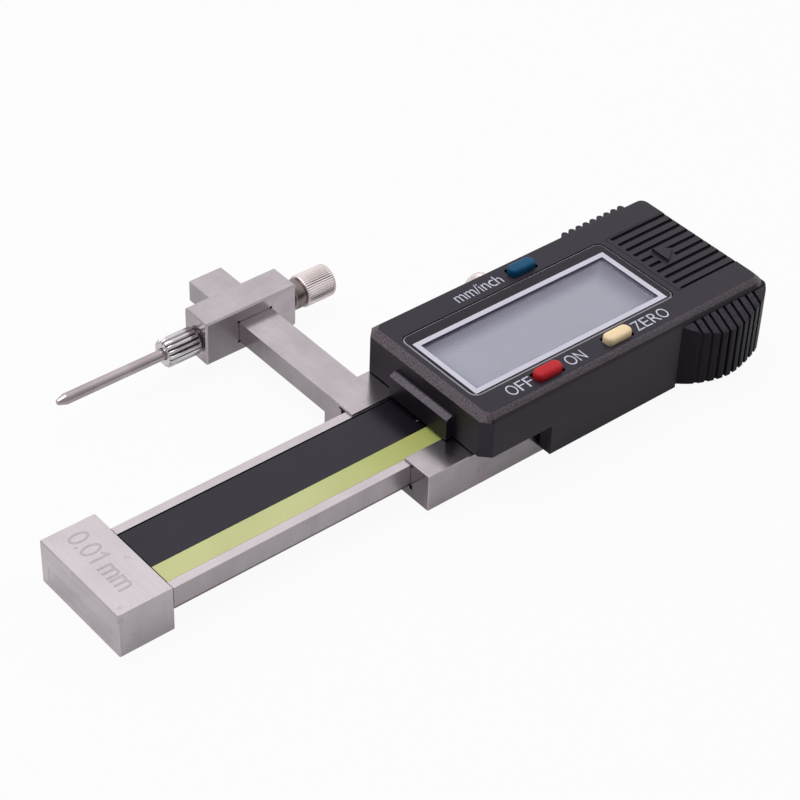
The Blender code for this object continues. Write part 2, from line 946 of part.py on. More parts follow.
def hollow_housing(housing):
    cavity = box(
        "display_cavity", (cavity_left, -cavity_side, housing_bottom - cut_overrun),
        (cavity_right, cavity_side, roof_bottom), cutters,
    )
    for number, centre in enumerate(boss_places):
        cut_rod(
            cavity, f"boss_{number}", boss_radius,
            housing_bottom - 2 * cut_overrun, roof_bottom + cut_overrun, centre, "Z",
        )
    cut(housing, cavity)
    for number, centre in enumerate(boss_places):
        cut_rod(
            housing, f"boss_hole_{number}", housing_screw_radius + screw_clearance,
            housing_bottom - cut_overrun, housing_bottom + housing_screw_bite + 2 * seat_gap,
            centre, "Z",
        )
    seat_side = lens_width / 2 + seat_gap
    lens_seat = rounded_rectangle(
        (lens_left - seat_gap, -seat_side), (lens_right + seat_gap, seat_side), lens_corner
    )
    top = housing_top + cut_overrun
    cut(housing, plate("lens_seat", [lens_seat], lens_bottom - seat_gap, top, cutters))
    cut_box(
        housing, "window",
        (window_left, window_front, roof_bottom - cut_overrun), (window_right, window_back, housing_top),
    )
    for name, centre in button_places().items():
        outline = button_outline(centre, button_hole_clearance, button_hole_corner)
        cut(housing, plate(name + "_hole", [outline], roof_bottom - cut_overrun, top, cutters))
    open_battery_bay(housing)


def open_battery_bay(housing):
    top = housing_top + cut_overrun
    cut_rod(housing, "battery_bay", bay_radius, bay_bottom, top, (battery_x, 0), "Z", fine_steps)
    left = door_left - door_clearance
    right = housing_right + cut_overrun
    side = door_half_width + door_clearance
    cut_box(housing, "door_slot", (left, -side, door_bottom - door_clearance), (right, side, top))
    side = door_tongue_side + door_clearance
    cut_box(
        housing, "door_tongue_slot",
        (left, -side, door_bottom - door_clearance), (right, side, door_tongue_top + door_clearance),
    )
    low, high = negative_contact_box(seat_gap)
    cut_box(housing, "negative_contact_slot", low, high)
    low, high = positive_contact_box(seat_gap)
    cut_box(housing, "positive_contact_slot", (cavity_right - cut_overrun, low[1], low[2]), high)


def negative_contact_box(gap):
    low_z = bay_bottom + seat_gap
    return (
        (cavity_right + seat_gap - 2 * gap, -contact_width / 2 - gap, low_z - gap),
        (battery_x + contact_width / 2 + gap, contact_width / 2 + gap, low_z + contact_thickness + gap),
    )


def positive_contact_box(gap):
    low_y = battery_radius + seat_gap
    low_z = battery_bottom + (battery_height - contact_height) / 2
    high_x = battery_x + contact_width / 2
    return (
        (cavity_right + seat_gap - 2 * gap, low_y - gap, low_z - gap),
        (high_x + gap, low_y + contact_thickness + gap, low_z + contact_height + gap),
    )


def lean_end(housing):
    # The end face leans in towards the bottom.
    side = housing_half_width + grip_bulge + cut_overrun
    top = tail_bottom + end_lean_height
    reach = end_lean * cut_overrun / end_lean_height
    outline = [
        (top, housing_right),
        (tail_bottom - cut_overrun, housing_right - end_lean - reach),
        (tail_bottom - cut_overrun, housing_right + 3 * cut_overrun),
        (top, housing_right + 3 * cut_overrun),
    ]
    cut(housing, plate("end_lean", [outline], -side, side, cutters, "Y"))
    cut_box(
        housing, "end_trim", (housing_right, -side, top - cut_overrun / 2),
        (housing_right + 3 * cut_overrun, side, housing_top + cut_overrun),
    )


def button_places():
    front = button_front_inset - housing_half_width
    boss_x = slider_right - boss_right_inset
    return {
        "button_off_on": (housing_left + button_off_on_place, front),
        "button_zero": (boss_x - button_zero_room, front),
        "button_mm_inch": (boss_x - button_inch_room, housing_half_width - button_back_inset),
    }


def button_outline(centre, growth, corner):
    reach_x = button_length / 2 + growth
    reach_y = button_width / 2 + growth
    return rounded_rectangle(
        (centre[0] - reach_x, centre[1] - reach_y), (centre[0] + reach_x, centre[1] + reach_y), corner
    )


def make_button(name, centre, material):
    button = plate(name, [button_outline(centre, 0, button_corner)], button_foot, button_top, parts)
    bevel_picked(button, lambda point: near(point.z, button_top), button_dome, round_segments)
    flange_top = roof_bottom - seat_gap
    flange = plate(
        name + "_flange", [button_outline(centre, button_flange_overhang, button_corner)],
        flange_top - button_flange_thickness, flange_top, cutters,
    )
    add(button, flange)
    return dress(button, material)


def make_display():
    outline = rounded_rectangle((lens_left, -lens_width / 2), (lens_right, lens_width / 2), lens_corner)
    lens = plate("display_lens", [outline], lens_bottom, lens_top, parts)
    bevel_picked(lens, lambda point: near(point.z, lens_top), lens_edge, 1)
    left = window_left - panel_margin
    right = window_right + panel_margin
    front = panel_front
    back = window_back + panel_margin
    panel = box("display_panel", (left, front, panel_bottom), (right, back, panel_top), parts)
    things = [dress(lens, clear_plastic), dress(panel, display_grey)]
    for number, y in enumerate((front + zebra_inset, back - zebra_inset - zebra_width)):
        strip = box(
            f"contact_rubber_{number + 1}", (left + ledge_width, y, board_top + seat_gap),
            (right - ledge_width, y + zebra_width, panel_bottom - seat_gap), parts,
        )
        things.append(dress(strip, pink_rubber))
    return things


def make_board():
    board = box(
        "circuit_board", (cavity_left + board_gap, -cavity_side + board_gap, board_bottom),
        (cavity_right - board_gap, cavity_side - board_gap, board_top), parts,
    )
    for number, centre in enumerate(boss_places):
        cut_rod(
            board, f"board_hole_{number}", boss_radius + board_gap, board_bottom - cut_overrun,
            board_top + cut_overrun, centre, "Z",
        )
    things = [dress(board, board_green)]
    for name, (x, y) in button_places().items():
        switch = box(
            name.replace("button", "switch"),
            (x - switch_length / 2, y - switch_width / 2, board_top + seat_gap),
            (x + switch_length / 2, y + switch_width / 2, board_top + switch_height), parts,
        )
        bevel_picked(switch, lambda point: point.z > board_top + switch_height / 2, seat_gap, 1)
        things.append(dress(switch, dark_steel))
    middle_x = (window_left + window_right) / 2
    middle_y = (window_front + window_back) / 2
    chip = box(
        "controller_chip", (middle_x - chip_size / 2, middle_y - chip_size / 2, board_top + seat_gap),
        (middle_x + chip_size / 2, middle_y + chip_size / 2, board_top + chip_height), parts,
    )
    bevel_picked(chip, lambda point: point.z > board_top + chip_height / 2, seat_gap, 1)
    things.append(dress(chip, gloss_black))
    return things


def make_battery():
    radius = battery_radius
    profile = (
        (0, battery_height), (radius - battery_edge, battery_height),
        (radius, battery_height - battery_edge), (radius, battery_edge),
        (radius - battery_edge, 0), (0, 0),
    )
    battery = turned("battery", profile, (battery_x, 0, battery_bottom), "Z", parts)
    low, high = negative_contact_box(0)
    negative = box("battery_contact_negative", low, high, parts)
    low, high = positive_contact_box(0)
    positive = box("battery_contact_positive", low, high, parts)
    return [dress(battery, nickel), dress(negative, brass), dress(positive, brass)]


def make_door():
    door = box(
        "battery_door", (door_left, -door_half_width, door_bottom),
        (housing_right, door_half_width, housing_top), parts,
    )
    tongue = box(
        "door_tongue", (door_left, -door_tongue_side, door_bottom),
        (housing_right, door_tongue_side, door_tongue_top), cutters,
    )
    add(door, tongue)
    # The end follows the chamfer of the housing, a little way in from it.
    reach = housing_chamfer + door_clearance
    side = door_tongue_side + cut_overrun
    outline = [
        (housing_top + cut_overrun, housing_right - reach - cut_overrun),
        (housing_top - reach - cut_overrun, housing_right + cut_overrun),
        (housing_top + cut_overrun, housing_right + cut_overrun),
    ]
    cut(door, plate("door_end", [outline], -side, side, cutters, "Y"))
    middle = (door_grooves - 1) / 2
    arrow_left = door_left + arrow_place
    arrow_y = door_groove_shift + arrow_shift
    for number in range(door_grooves):
        y = door_groove_shift + (number - middle) * door_groove_pitch
        start = door_left + door_groove_start
        if abs(y - door_groove_shift) > door_groove_pitch:
            cut_groove(door, f"door_groove_{number}", y, start, housing_right + cut_overrun)
        else:
            cut_groove(door, f"door_groove_{number}_start", y, start, arrow_left - arrow_margin)
            cut_groove(
                door, f"door_groove_{number}_end", y, arrow_left + arrow_length - arrow_margin / 2,
                housing_right + cut_overrun,
            )
    arrow = [
        (arrow_left, arrow_y - arrow_half_width),
        (arrow_left + arrow_length, arrow_y),
        (arrow_left, arrow_y + arrow_half_width),
    ]
    add(door, plate("door_arrow", [arrow], door_tongue_top, housing_top + arrow_height, cutters))
    return dress(door, black_plastic)


def cut_groove(door, name, y, low, high):
    # A thumb groove with one steep wall at the back and one sloping wall at the front.
    depth = housing_top - door_groove_depth
    outline = [
        (y - door_groove_width / 2, housing_top + cut_overrun),
        (y - door_groove_width / 2, housing_top),
        (y + door_groove_width / 4, depth),
        (y + door_groove_width / 2, depth),
        (y + door_groove_width / 2, housing_top + cut_overrun),
    ]
    return cut(door, plate(name, [outline], low, high, cutters, "X"))


def make_housing_screws():
    reach = housing_bottom + housing_screw_bite - slider_bottom - seat_gap
    return [
        cap_screw(
            f"housing_screw_{number + 1}", (x, y, slider_bottom + seat_gap), "Z", housing_screw_radius,
            reach, housing_screw_head_radius, housing_screw_head_height, dark_steel,
        )
        for number, (x, y) in enumerate(boss_places)
    ]


def thumb_screw(name, origin, axis, shank_length, neck_length, material):
    # The origin is the tip of the shank; the knurled head is at the far end.
    neck = shank_length + neck_length
    head = neck + thumb_shoulder_length
    end = head + thumb_head_length
    screw = turned(
        name,
        (
            (0, head + thumb_head_chamfer),
            (thumb_shoulder_radius, head + thumb_head_chamfer),
            (thumb_shoulder_radius, neck + thumb_head_chamfer),
            (thumb_shoulder_radius - thumb_head_chamfer, neck),
            (thumb_neck_radius, neck),
            (thumb_neck_radius, shank_length),
            (thumb_shank_radius, shank_length),
            (thumb_shank_radius, 0),
            (0, 0),
        ),
        origin, axis, parts, coarse_steps,
    )
    envelope = [(0, end), (thumb_head_radius - thumb_head_round, end)]
    for step in range(1, round_segments + 1):
        angle = math.pi / 2 * step / round_segments
        overrun = cut_overrun * (step == round_segments)
        envelope.append((
            thumb_head_radius - thumb_head_round * (1 - math.sin(angle)) + overrun,
            end - thumb_head_round * (1 - math.cos(angle)),
        ))
    envelope += [
        (thumb_head_radius + cut_overrun, head + thumb_head_chamfer + cut_overrun),
        (thumb_head_radius - thumb_head_chamfer, head),
        (0, head),
    ]
    outline = toothed(thumb_head_radius, thumb_knurl_depth, thumb_knurls)
    return add_ribbed(screw, outline, envelope, head, end, material)


def add_ribbed(target, outline, envelope, low, high, material):
    # Joins a ribbed prism, rounded off at its ends by a turned envelope, to a turned piece.
    name = target.name
    ribbed = plate(name + "_ribs", [outline], low, high, cutters)
    ribbed.matrix_world = target.matrix_world @ ribbed.matrix_world
    rounding = turned(name + "_rounding", envelope, target.location, "Z", cutters)
    rounding.matrix_world = target.matrix_world
    combine(ribbed, rounding, "INTERSECT")
    add(target, ribbed)
    return dress(target, material)


def make_lock_screw():
    tip = channel_back + running_clearance
    neck = lock_head_start - thumb_shoulder_length - slider_back - seat_gap
    return thumb_screw("lock_screw", (lock_x, tip, 0), "Y", slider_back + seat_gap - tip, neck, nickel)


def make_clamp():
    block = box(
        "clamp_block", (block_left, block_place, block_bottom),
        (block_right, block_place + block_width, block_top), parts,
    )
    bevel_picked(block, lambda point: True, block_chamfer, round_segments - 1)
    back = block_place + block_width + cut_overrun
    front = block_place - cut_overrun
    cut_box(block, "arm_slot", (slot_left, front, slot_bottom), (slot_right, back, slot_top))
    for column, x in enumerate((slot_left, slot_right)):
        for row, z in enumerate((slot_bottom, slot_top)):
            cut_box(
                block, f"slot_relief_{column}_{row}",
                (x - relief_size / 2, front, z - relief_size / 2),
                (x + relief_size / 2, back, z + relief_size / 2),
            )
    centre = (block_middle, probe_height)
    cut_rod(
        block, "probe_thread", collar_stud_radius + screw_clearance, block_left - cut_overrun,
        block_left + collar_stud_length + seat_gap, centre, "X",
    )
    cut_rod(
        block, "clamp_thread", thumb_shank_radius + screw_clearance, slot_right - cut_overrun / 4,
        block_right + cut_overrun, centre, "X",
    )
    pad = rod(
        "clamp_pad", pad_radius, slot_right + seat_gap, slot_right + pad_thickness, centre, "X", parts
    )
    return [dress(block, steel), dress(pad, brass)]


def make_clamp_screw():
    tip = slot_right + pad_thickness + seat_gap
    shank = block_right + seat_gap - tip
    return thumb_screw(
        "clamp_screw", (tip, block_middle, probe_height), "X", shank, thumb_neck_length, nickel
    )


def make_probe():
    # Heights in the profiles are distances along X from the collar's free end.
    length = collar_length
    ribs_end = length - collar_undercut_length
    bore = probe_pin_radius + seat_gap / 4
    origin = (collar_left, block_middle, probe_height)
    holder = turned(
        "probe_holder",
        (
            (0, length + collar_stud_length),
            (collar_stud_radius, length + collar_stud_length),
            (collar_stud_radius, length - seat_gap),
            (collar_undercut_radius, length - seat_gap),
            (collar_undercut_radius, collar_chamfer),
            (0, collar_chamfer),
        ),
        origin, "X", parts,
    )
    envelope = (
        (0, ribs_end),
        (collar_radius - collar_chamfer / 2, ribs_end),
        (collar_radius + cut_overrun, ribs_end - collar_chamfer / 2 - cut_overrun),
        (collar_radius + cut_overrun, collar_chamfer + cut_overrun),
        (collar_radius - collar_chamfer, 0),
        (0, 0),
    )
    outline = fluted(
        collar_radius, collar_flute_depth, collar_flutes, collar_land_share, collar_floor_share
    )
    add_ribbed(holder, outline, envelope, 0, ribs_end, nickel)
    bore_start = collar_left - cut_overrun
    centre = (block_middle, probe_height)
    cut_rod(holder, "probe_bore", bore, bore_start, collar_left + probe_pin_seat, centre, "X", fine_steps)
    tip = -probe_pin_length
    pin_profile = [
        (0, probe_pin_seat - seat_gap),
        (probe_pin_radius, probe_pin_seat - seat_gap),
        (probe_pin_radius, tip + probe_taper),
        (probe_tip_radius, tip),
        (0, tip),
    ]
    pin = turned("probe_pin", pin_profile, origin, "X", parts)
    return [holder, dress(pin, steel)]


clear_scene()
parts = new_collection("digital_step_gauge")
cutters = new_collection("cutters")
steel = principled("brushed_steel", (0.60, 0.57, 0.58), 1, 0.38)
dark_steel = principled("blackened_steel", (0.12, 0.12, 0.13), 1, 0.45)
carbide = principled("carbide", (0.50, 0.48, 0.50), 1, 0.40)
nickel = principled("nickel", (0.62, 0.57, 0.53), 1, 0.28)
brass = principled("brass", (0.72, 0.52, 0.22), 1, 0.35)
black_plastic = principled("black_plastic", (0.030, 0.028, 0.032), 0, 0.50)
gloss_black = principled("gloss_black", (0.035, 0.033, 0.042), 0, 0.20)
yellow_green = principled("yellow_green", (0.60, 0.63, 0.20), 0, 0.35)
clear_plastic = principled("clear_plastic", (0.80, 0.82, 0.85), 0, 0.08)
display_grey = principled("display_grey", (0.36, 0.39, 0.42), 0, 0.25)
board_green = principled("board_green", (0.04, 0.18, 0.08), 0, 0.45)
pink_rubber = principled("pink_rubber", (0.55, 0.30, 0.32), 0, 0.70)
button_red = principled("button_red", (0.62, 0.03, 0.03), 0, 0.45)
button_yellow = principled("button_yellow", (0.80, 0.66, 0.30), 0, 0.45)
button_blue = principled("button_blue", (0.01, 0.14, 0.26), 0, 0.40)

make_beam()
make_foot()
make_foot_screws()
make_scale()
make_stop()

slider_things = [make_slider(), make_housing()]
slider_things += make_gib() + make_display() + make_board() + make_battery() + make_housing_screws()
slider_carrier = hang("slider_carrier", (slider_left, 0, 0), slider_things)

button_colours = {
    "button_off_on": button_red, "button_zero": button_yellow, "button_mm_inch": button_blue,
}
for button_name, button_centre in button_places().items():
    cap = make_button(button_name, button_centre, button_colours[button_name])
    hang(button_name + "_carrier", (*button_centre, housing_top), [cap], slider_carrier)
hang("door_carrier", (door_left, 0, door_bottom), [make_door()], slider_carrier)
hang("lock_carrier", (lock_x, 0, 0), [make_lock_screw()], slider_carrier)

block_origin = (slider_left, block_middle, probe_height)
block_carrier = hang("block_carrier", block_origin, make_clamp() + make_probe(), slider_carrier)
hang("clamp_screw_carrier", block_origin, [make_clamp_screw()], block_carrier)

for thing in parts.objects:
    if thing.type == "MESH":
        settle(thing)
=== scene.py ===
import math

import bmesh
import bpy
from mathutils import Matrix, Vector


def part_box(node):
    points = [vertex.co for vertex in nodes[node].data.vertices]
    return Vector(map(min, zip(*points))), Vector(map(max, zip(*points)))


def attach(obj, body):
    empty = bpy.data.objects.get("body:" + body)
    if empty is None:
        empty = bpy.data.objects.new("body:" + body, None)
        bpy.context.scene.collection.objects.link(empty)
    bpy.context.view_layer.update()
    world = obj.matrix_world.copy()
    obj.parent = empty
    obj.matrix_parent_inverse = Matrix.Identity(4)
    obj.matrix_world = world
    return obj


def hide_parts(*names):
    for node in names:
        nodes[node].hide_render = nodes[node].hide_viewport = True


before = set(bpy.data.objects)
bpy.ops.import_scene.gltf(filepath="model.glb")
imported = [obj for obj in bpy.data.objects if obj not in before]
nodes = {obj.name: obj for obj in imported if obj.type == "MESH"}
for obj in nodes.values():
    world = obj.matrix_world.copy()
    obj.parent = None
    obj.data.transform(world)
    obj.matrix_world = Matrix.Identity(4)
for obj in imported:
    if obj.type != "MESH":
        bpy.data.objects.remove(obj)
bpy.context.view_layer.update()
scene = bpy.context.scene
print("frame loaded with", len(nodes), "nodes")


# Small helpers for shader trees

def join(tree, value, socket):
    # Links another node's socket, or sets a plain value.
    if isinstance(value, bpy.types.NodeSocket):
        tree.links.new(value, socket)
    else:
        socket.default_value = value


def addNode(tree, kind, settings=None, inputs=None):
    node = tree.nodes.new(kind)
    for name, value in (settings or {}).items():
        setattr(node, name, value)
    for name, value in (inputs or {}).items():
        join(tree, value, node.inputs[name])
    return node


def blendColours(tree, amount, first, second):
    mix = addNode(tree, "ShaderNodeMix", {"data_type": "RGBA"}, {0: amount})
    for number, value in ((6, first), (7, second)):
        join(tree, (*value, 1) if isinstance(value, tuple) else value, mix.inputs[number])
    return mix.outputs[2]


def mixShaders(tree, amount, first, second):
    inputs = {0: amount, 1: first.outputs[0], 2: second.outputs[0]}
    return addNode(tree, "ShaderNodeMixShader", None, inputs)


def maths(tree, operation, first, second=0.0):
    return addNode(tree, "ShaderNodeMath", {"operation": operation}, {0: first, 1: second}).outputs[0]


def times(tree, first, second):
    return maths(tree, "MULTIPLY", first, second)


def plus(tree, first, second):
    return maths(tree, "ADD", first, second)


def between(tree, value, low, high):
    return times(tree, maths(tree, "GREATER_THAN", value, low), maths(tree, "LESS_THAN", value, high))


def toneSum(tree, pairs):
    # Adds up values, each times its own share.
    total = None
    for value, share in pairs:
        part = times(tree, value, share)
        total = part if total is None else plus(tree, total, part)
    return total


def spread(tree, value, low, high, newLow=0.0, newHigh=1.0, smooth=False):
    kind = "SMOOTHSTEP" if smooth else "LINEAR"
    limits = {"Value": value, "From Min": low, "From Max": high, "To Min": newLow, "To Max": newHigh}
    return addNode(tree, "ShaderNodeMapRange", {"interpolation_type": kind}, limits).outputs[0]


def coordinates(tree, output="Object"):
    return addNode(tree, "ShaderNodeTexCoord").outputs[output]


def axes(tree, output):
    # The X, Y and Z of a point's place ("Object") or of the way its face looks ("Normal").
    return addNode(tree, "ShaderNodeSeparateXYZ", None, {0: coordinates(tree, output)}).outputs


def noise(tree, scale, detail):
    inputs = {"Vector": coordinates(tree), "Scale": scale, "Detail": detail}
    return addNode(tree, "ShaderNodeTexNoise", None, inputs).outputs[0]


def stretchedNoise(tree, scale, detail, roughness):
    # The scale has its own number of features per metre along X, Y and Z.
    moved = addNode(tree, "ShaderNodeVectorMath", {"operation": "MULTIPLY"}, {0: coordinates(tree), 1: scale})
    inputs = {"Vector": moved.outputs[0], "Scale": 1.0, "Detail": detail, "Roughness": roughness}
    return addNode(tree, "ShaderNodeTexNoise", None, inputs).outputs[0]


def newGroup(name, inputs, outputs):
    tree = bpy.data.node_groups.new(name, "ShaderNodeTree")
    for label, value in inputs.items():
        kind = "NodeSocketVector" if isinstance(value, tuple) else "NodeSocketFloat"
        tree.interface.new_socket(name=label, in_out="INPUT", socket_type=kind).default_value = value
    for label in outputs:
        kind = "NodeSocketVector" if label == "Normal" else "NodeSocketFloat"
        tree.interface.new_socket(name=label, in_out="OUTPUT", socket_type=kind)
    return tree, tree.nodes.new("NodeGroupInput").outputs, tree.nodes.new("NodeGroupOutput").inputs


def useGroup(tree, group, inputs):
    return addNode(tree, "ShaderNodeGroup", {"node_tree": group}, inputs).outputs


# Shared effects

def makeRoundedEdges():
    # Softens the look of machined and moulded edges, and gives a broken-up mask of them, where a painted
    # highlight goes.
    tree, given, result = newGroup("roundedEdges", {"Radius": 0.0001, "Breakup": 900.0}, ("Mask", "Normal"))
    bevel = addNode(tree, "ShaderNodeBevel", {"samples": 4}, {"Radius": given["Radius"]}).outputs[0]
    facing = addNode(tree, "ShaderNodeNewGeometry").outputs["Normal"]
    alike = addNode(tree, "ShaderNodeVectorMath", {"operation": "DOT_PRODUCT"}, {0: bevel, 1: facing})
    turned = maths(tree, "SUBTRACT", 1.0, alike.outputs["Value"])
    highlightBreakup = spread(tree, noise(tree, given["Breakup"], 2.0), 0.35, 0.6)
    join(tree, times(tree, spread(tree, turned, 0.01, 0.12), highlightBreakup), result["Mask"])
    join(tree, bevel, result["Normal"])
    return tree


def makeBrushing():
    # Grinding streaks; each way that a face looks has streaks of its own direction.
    facings = {"Facing X": (3000, 3000, 90), "Facing Y": (3000, 3000, 90), "Facing Z": (90, 3000, 3000)}
    tree, given, result = newGroup("brushing", facings, ("Tone", "Broad"))
    looks = addNode(tree, "ShaderNodeVectorMath", {"operation": "ABSOLUTE"}, {0: coordinates(tree, "Normal")})
    parts = addNode(tree, "ShaderNodeSeparateXYZ", None, {0: looks.outputs[0]}).outputs
    scale = given["Facing Z"]
    for axis in "XY":
        chosen = maths(tree, "GREATER_THAN", parts[axis], 0.7)
        inputs = {0: chosen, 4: scale, 5: given["Facing " + axis]}
        scale = addNode(tree, "ShaderNodeMix", {"data_type": "VECTOR"}, inputs).outputs[1]
    wide = addNode(tree, "ShaderNodeVectorMath", {"operation": "SCALE"}, {0: scale, "Scale": 0.16}).outputs[0]
    join(tree, spread(tree, stretchedNoise(tree, scale, 3.0, 0.6), 0.28, 0.72), result["Tone"])
    join(tree, spread(tree, stretchedNoise(tree, wide, 2.0, 0.5), 0.3, 0.7), result["Broad"])
    return tree


def makeMottling():
    # Cloudy tone, fine spots and rare dark marks.
    scales = {"Cloud scale": 150.0, "Spot scale": 2600.0, "Mark scale": 420.0}
    tree, given, result = newGroup("mottling", scales, ("Clouds", "Spots", "Marks"))
    for label, scale, detail, low, high in (
        ("Clouds", "Cloud scale", 4.0, 0.32, 0.68), ("Spots", "Spot scale", 2.0, 0.3, 0.7),
        ("Marks", "Mark scale", 5.0, 0.67, 0.74),
    ):
        join(tree, spread(tree, noise(tree, given[scale], detail), low, high), result[label])
    return tree


def makeDust():
    # Tiny pale flecks, a few of them drawn out into hairs.
    tree, given, result = newGroup("dust", {"Scale": 500.0, "Share": 0.06, "Size": 0.14}, ("Mask",))
    flecks = []
    for turn, stretch in ((0.0, (1, 1, 1)), (0.7, (0.35, 1.4, 1))):
        inputs = {"Vector": coordinates(tree), "Rotation": (0, 0, turn), "Scale": stretch}
        place = addNode(tree, "ShaderNodeMapping", None, inputs).outputs[0]
        cells = addNode(tree, "ShaderNodeTexVoronoi", None, {"Vector": place, "Scale": given["Scale"]}).outputs
        chance, size, tone = addNode(tree, "ShaderNodeSeparateColor", None, {0: cells["Color"]}).outputs
        rare = maths(tree, "LESS_THAN", chance, given["Share"])
        near = maths(tree, "LESS_THAN", cells["Distance"], times(tree, size, given["Size"]))
        flecks.append(times(tree, times(tree, rare, near), spread(tree, tone, 0, 1, 0.35, 1)))
    join(tree, maths(tree, "MAXIMUM", *flecks), result["Mask"])
    return tree


def makeGrain():
    # The fine pebble of a spark-eroded mould.
    tree, given, result = newGroup("mouldGrain", {"Scale": 5200.0}, ("Height", "Tone"))
    inputs = {"Vector": coordinates(tree), "Scale": given["Scale"]}
    cells = addNode(tree, "ShaderNodeTexVoronoi", {"feature": "SMOOTH_F1"}, inputs).outputs["Distance"]
    pebbles = noise(tree, given["Scale"], 2.0)
    join(tree, times(tree, plus(tree, cells, pebbles), 0.6), result["Height"])
    join(tree, spread(tree, pebbles, 0.35, 0.65), result["Tone"])
    return tree


roundedEdges = makeRoundedEdges()
brushing = makeBrushing()
mottling = makeMottling()
dust = makeDust()
mouldGrain = makeGrain()
print("shared effects made")


# Materials

def newMaterial(name, **values):
    material = bpy.data.materials.new(name)
    material.use_nodes = True
    tree = material.node_tree
    shader = tree.nodes["Principled BSDF"]
    for label, value in values.items():
        shader.inputs[label.replace("_", " ")].default_value = value
    return material, tree, shader


def newCoating(name, look):
    tint = (*look["tint"], 1)
    return newMaterial(name, Metallic=0.0, Specular_IOR_Level=look["specular"], Specular_Tint=tint)


def finish(tree, shader, colour, roughness, normal):
    for label, value in (("Base Color", colour), ("Roughness", roughness), ("Normal", normal)):
        tree.links.new(value, shader.inputs[label])


def bump(tree, height, depth, normal=None):
    inputs = {"Height": height, "Distance": depth, "Strength": 1.0}
    if normal is not None:
        inputs["Normal"] = normal
    return addNode(tree, "ShaderNodeBump", None, inputs).outputs[0]


def dustMask(tree, look):
    inputs = {"Scale": look["dustScale"], "Share": look["dustShare"], "Size": look["dustSize"]}
    return useGroup(tree, dust, inputs)["Mask"]


def paintedSideShade(tree, axis, by, start, end, startShare, endShare):
    # Painted shade: picks the faces that look back along an axis, with a slow change by the place on X, Y or Z,
    # for a darker colour there.
    picked = maths(tree, "LESS_THAN", axes(tree, "Normal")[axis], -0.75)
    return times(tree, picked, spread(tree, axes(tree, "Object")[by], start, end, startShare, endShare))


def shadedGrooves(tree, colour, grooves):
    # Painted shade in the grooves and on the neck of a turned part, found by the distance from its axis.
    where, facing = axes(tree, "Object"), axes(tree, "Normal")
    legs = [
        maths(tree, "POWER", maths(tree, "SUBTRACT", where[axis], centre), 2.0)
        for axis, centre in grooves["centre"]
    ]
    reach = maths(tree, "SQRT", plus(tree, *legs))
    sideways = maths(tree, "LESS_THAN", maths(tree, "ABSOLUTE", facing[grooves["axis"]]), 0.6)
    for unshadedReach, deepest, share, ringShade in grooves["rings"]:
        deep = times(tree, spread(tree, reach, unshadedReach, deepest), sideways)
        colour = blendColours(tree, times(tree, deep, share), colour, ringShade)
    return colour


def makeSteel(name, look):
    material, tree, shader = newMaterial(name, Metallic=1.0)
    streaks = useGroup(tree, brushing, look["streaks"])
    marks = useGroup(tree, mottling, {"Cloud scale": look["clouds"], "Spot scale": look["spots"]})
    edges = useGroup(tree, roundedEdges, {"Radius": look["edge"]})
    tones = (streaks["Tone"], streaks["Broad"], marks["Clouds"], marks["Spots"])
    tone = toneSum(tree, zip(tones, look["shares"]))
    colour = blendColours(tree, tone, look["dark"], look["light"])
    colour = blendColours(tree, times(tree, marks["Marks"], look["stain"]), colour, look["stainColour"])
    # Painted shade on the faces that look back along an axis.
    for shade in look["paintedShades"]:
        colour = blendColours(tree, paintedSideShade(tree, *shade), colour, look["shadeColour"])
    # Painted highlight along the edges.
    colour = blendColours(tree, times(tree, edges["Mask"], look["paintedEdgeShine"]), colour, look["paintedEdgeColour"])
    if look["grooves"]:
        colour = shadedGrooves(tree, colour, look["grooves"])
    smoothest, roughest = look["roughness"]
    normal = bump(tree, streaks["Tone"], look["depth"], edges["Normal"])
    finish(tree, shader, colour, spread(tree, tone, 0, 1, roughest, smoothest), normal)
    return material


# The shares are those of fine streaks, broad streaks, clouds and spots. A painted shade darkens the faces that
# look back along an axis; it has that axis, the axis that it changes by, where it starts and ends there, and
# its share at both.
steelLook = {
    "streaks": {"Facing X": (3000, 160, 3000), "Facing Y": (2600, 3000, 140), "Facing Z": (2600, 160, 3000)},
    "shares": (0.26, 0.20, 0.38, 0.16), "clouds": 170.0, "spots": 2400.0,
    "dark": (0.51, 0.465, 0.49), "light": (0.69, 0.63, 0.665), "roughness": (0.26, 0.36), "depth": 0.0000014,
    "stain": 0.35, "stainColour": (0.25, 0.22, 0.24), "paintedShades": (), "shadeColour": (0.10, 0.085, 0.095),
    "edge": 0.00005, "paintedEdgeShine": 0.15, "paintedEdgeColour": (0.86, 0.83, 0.85), "grooves": None,
}
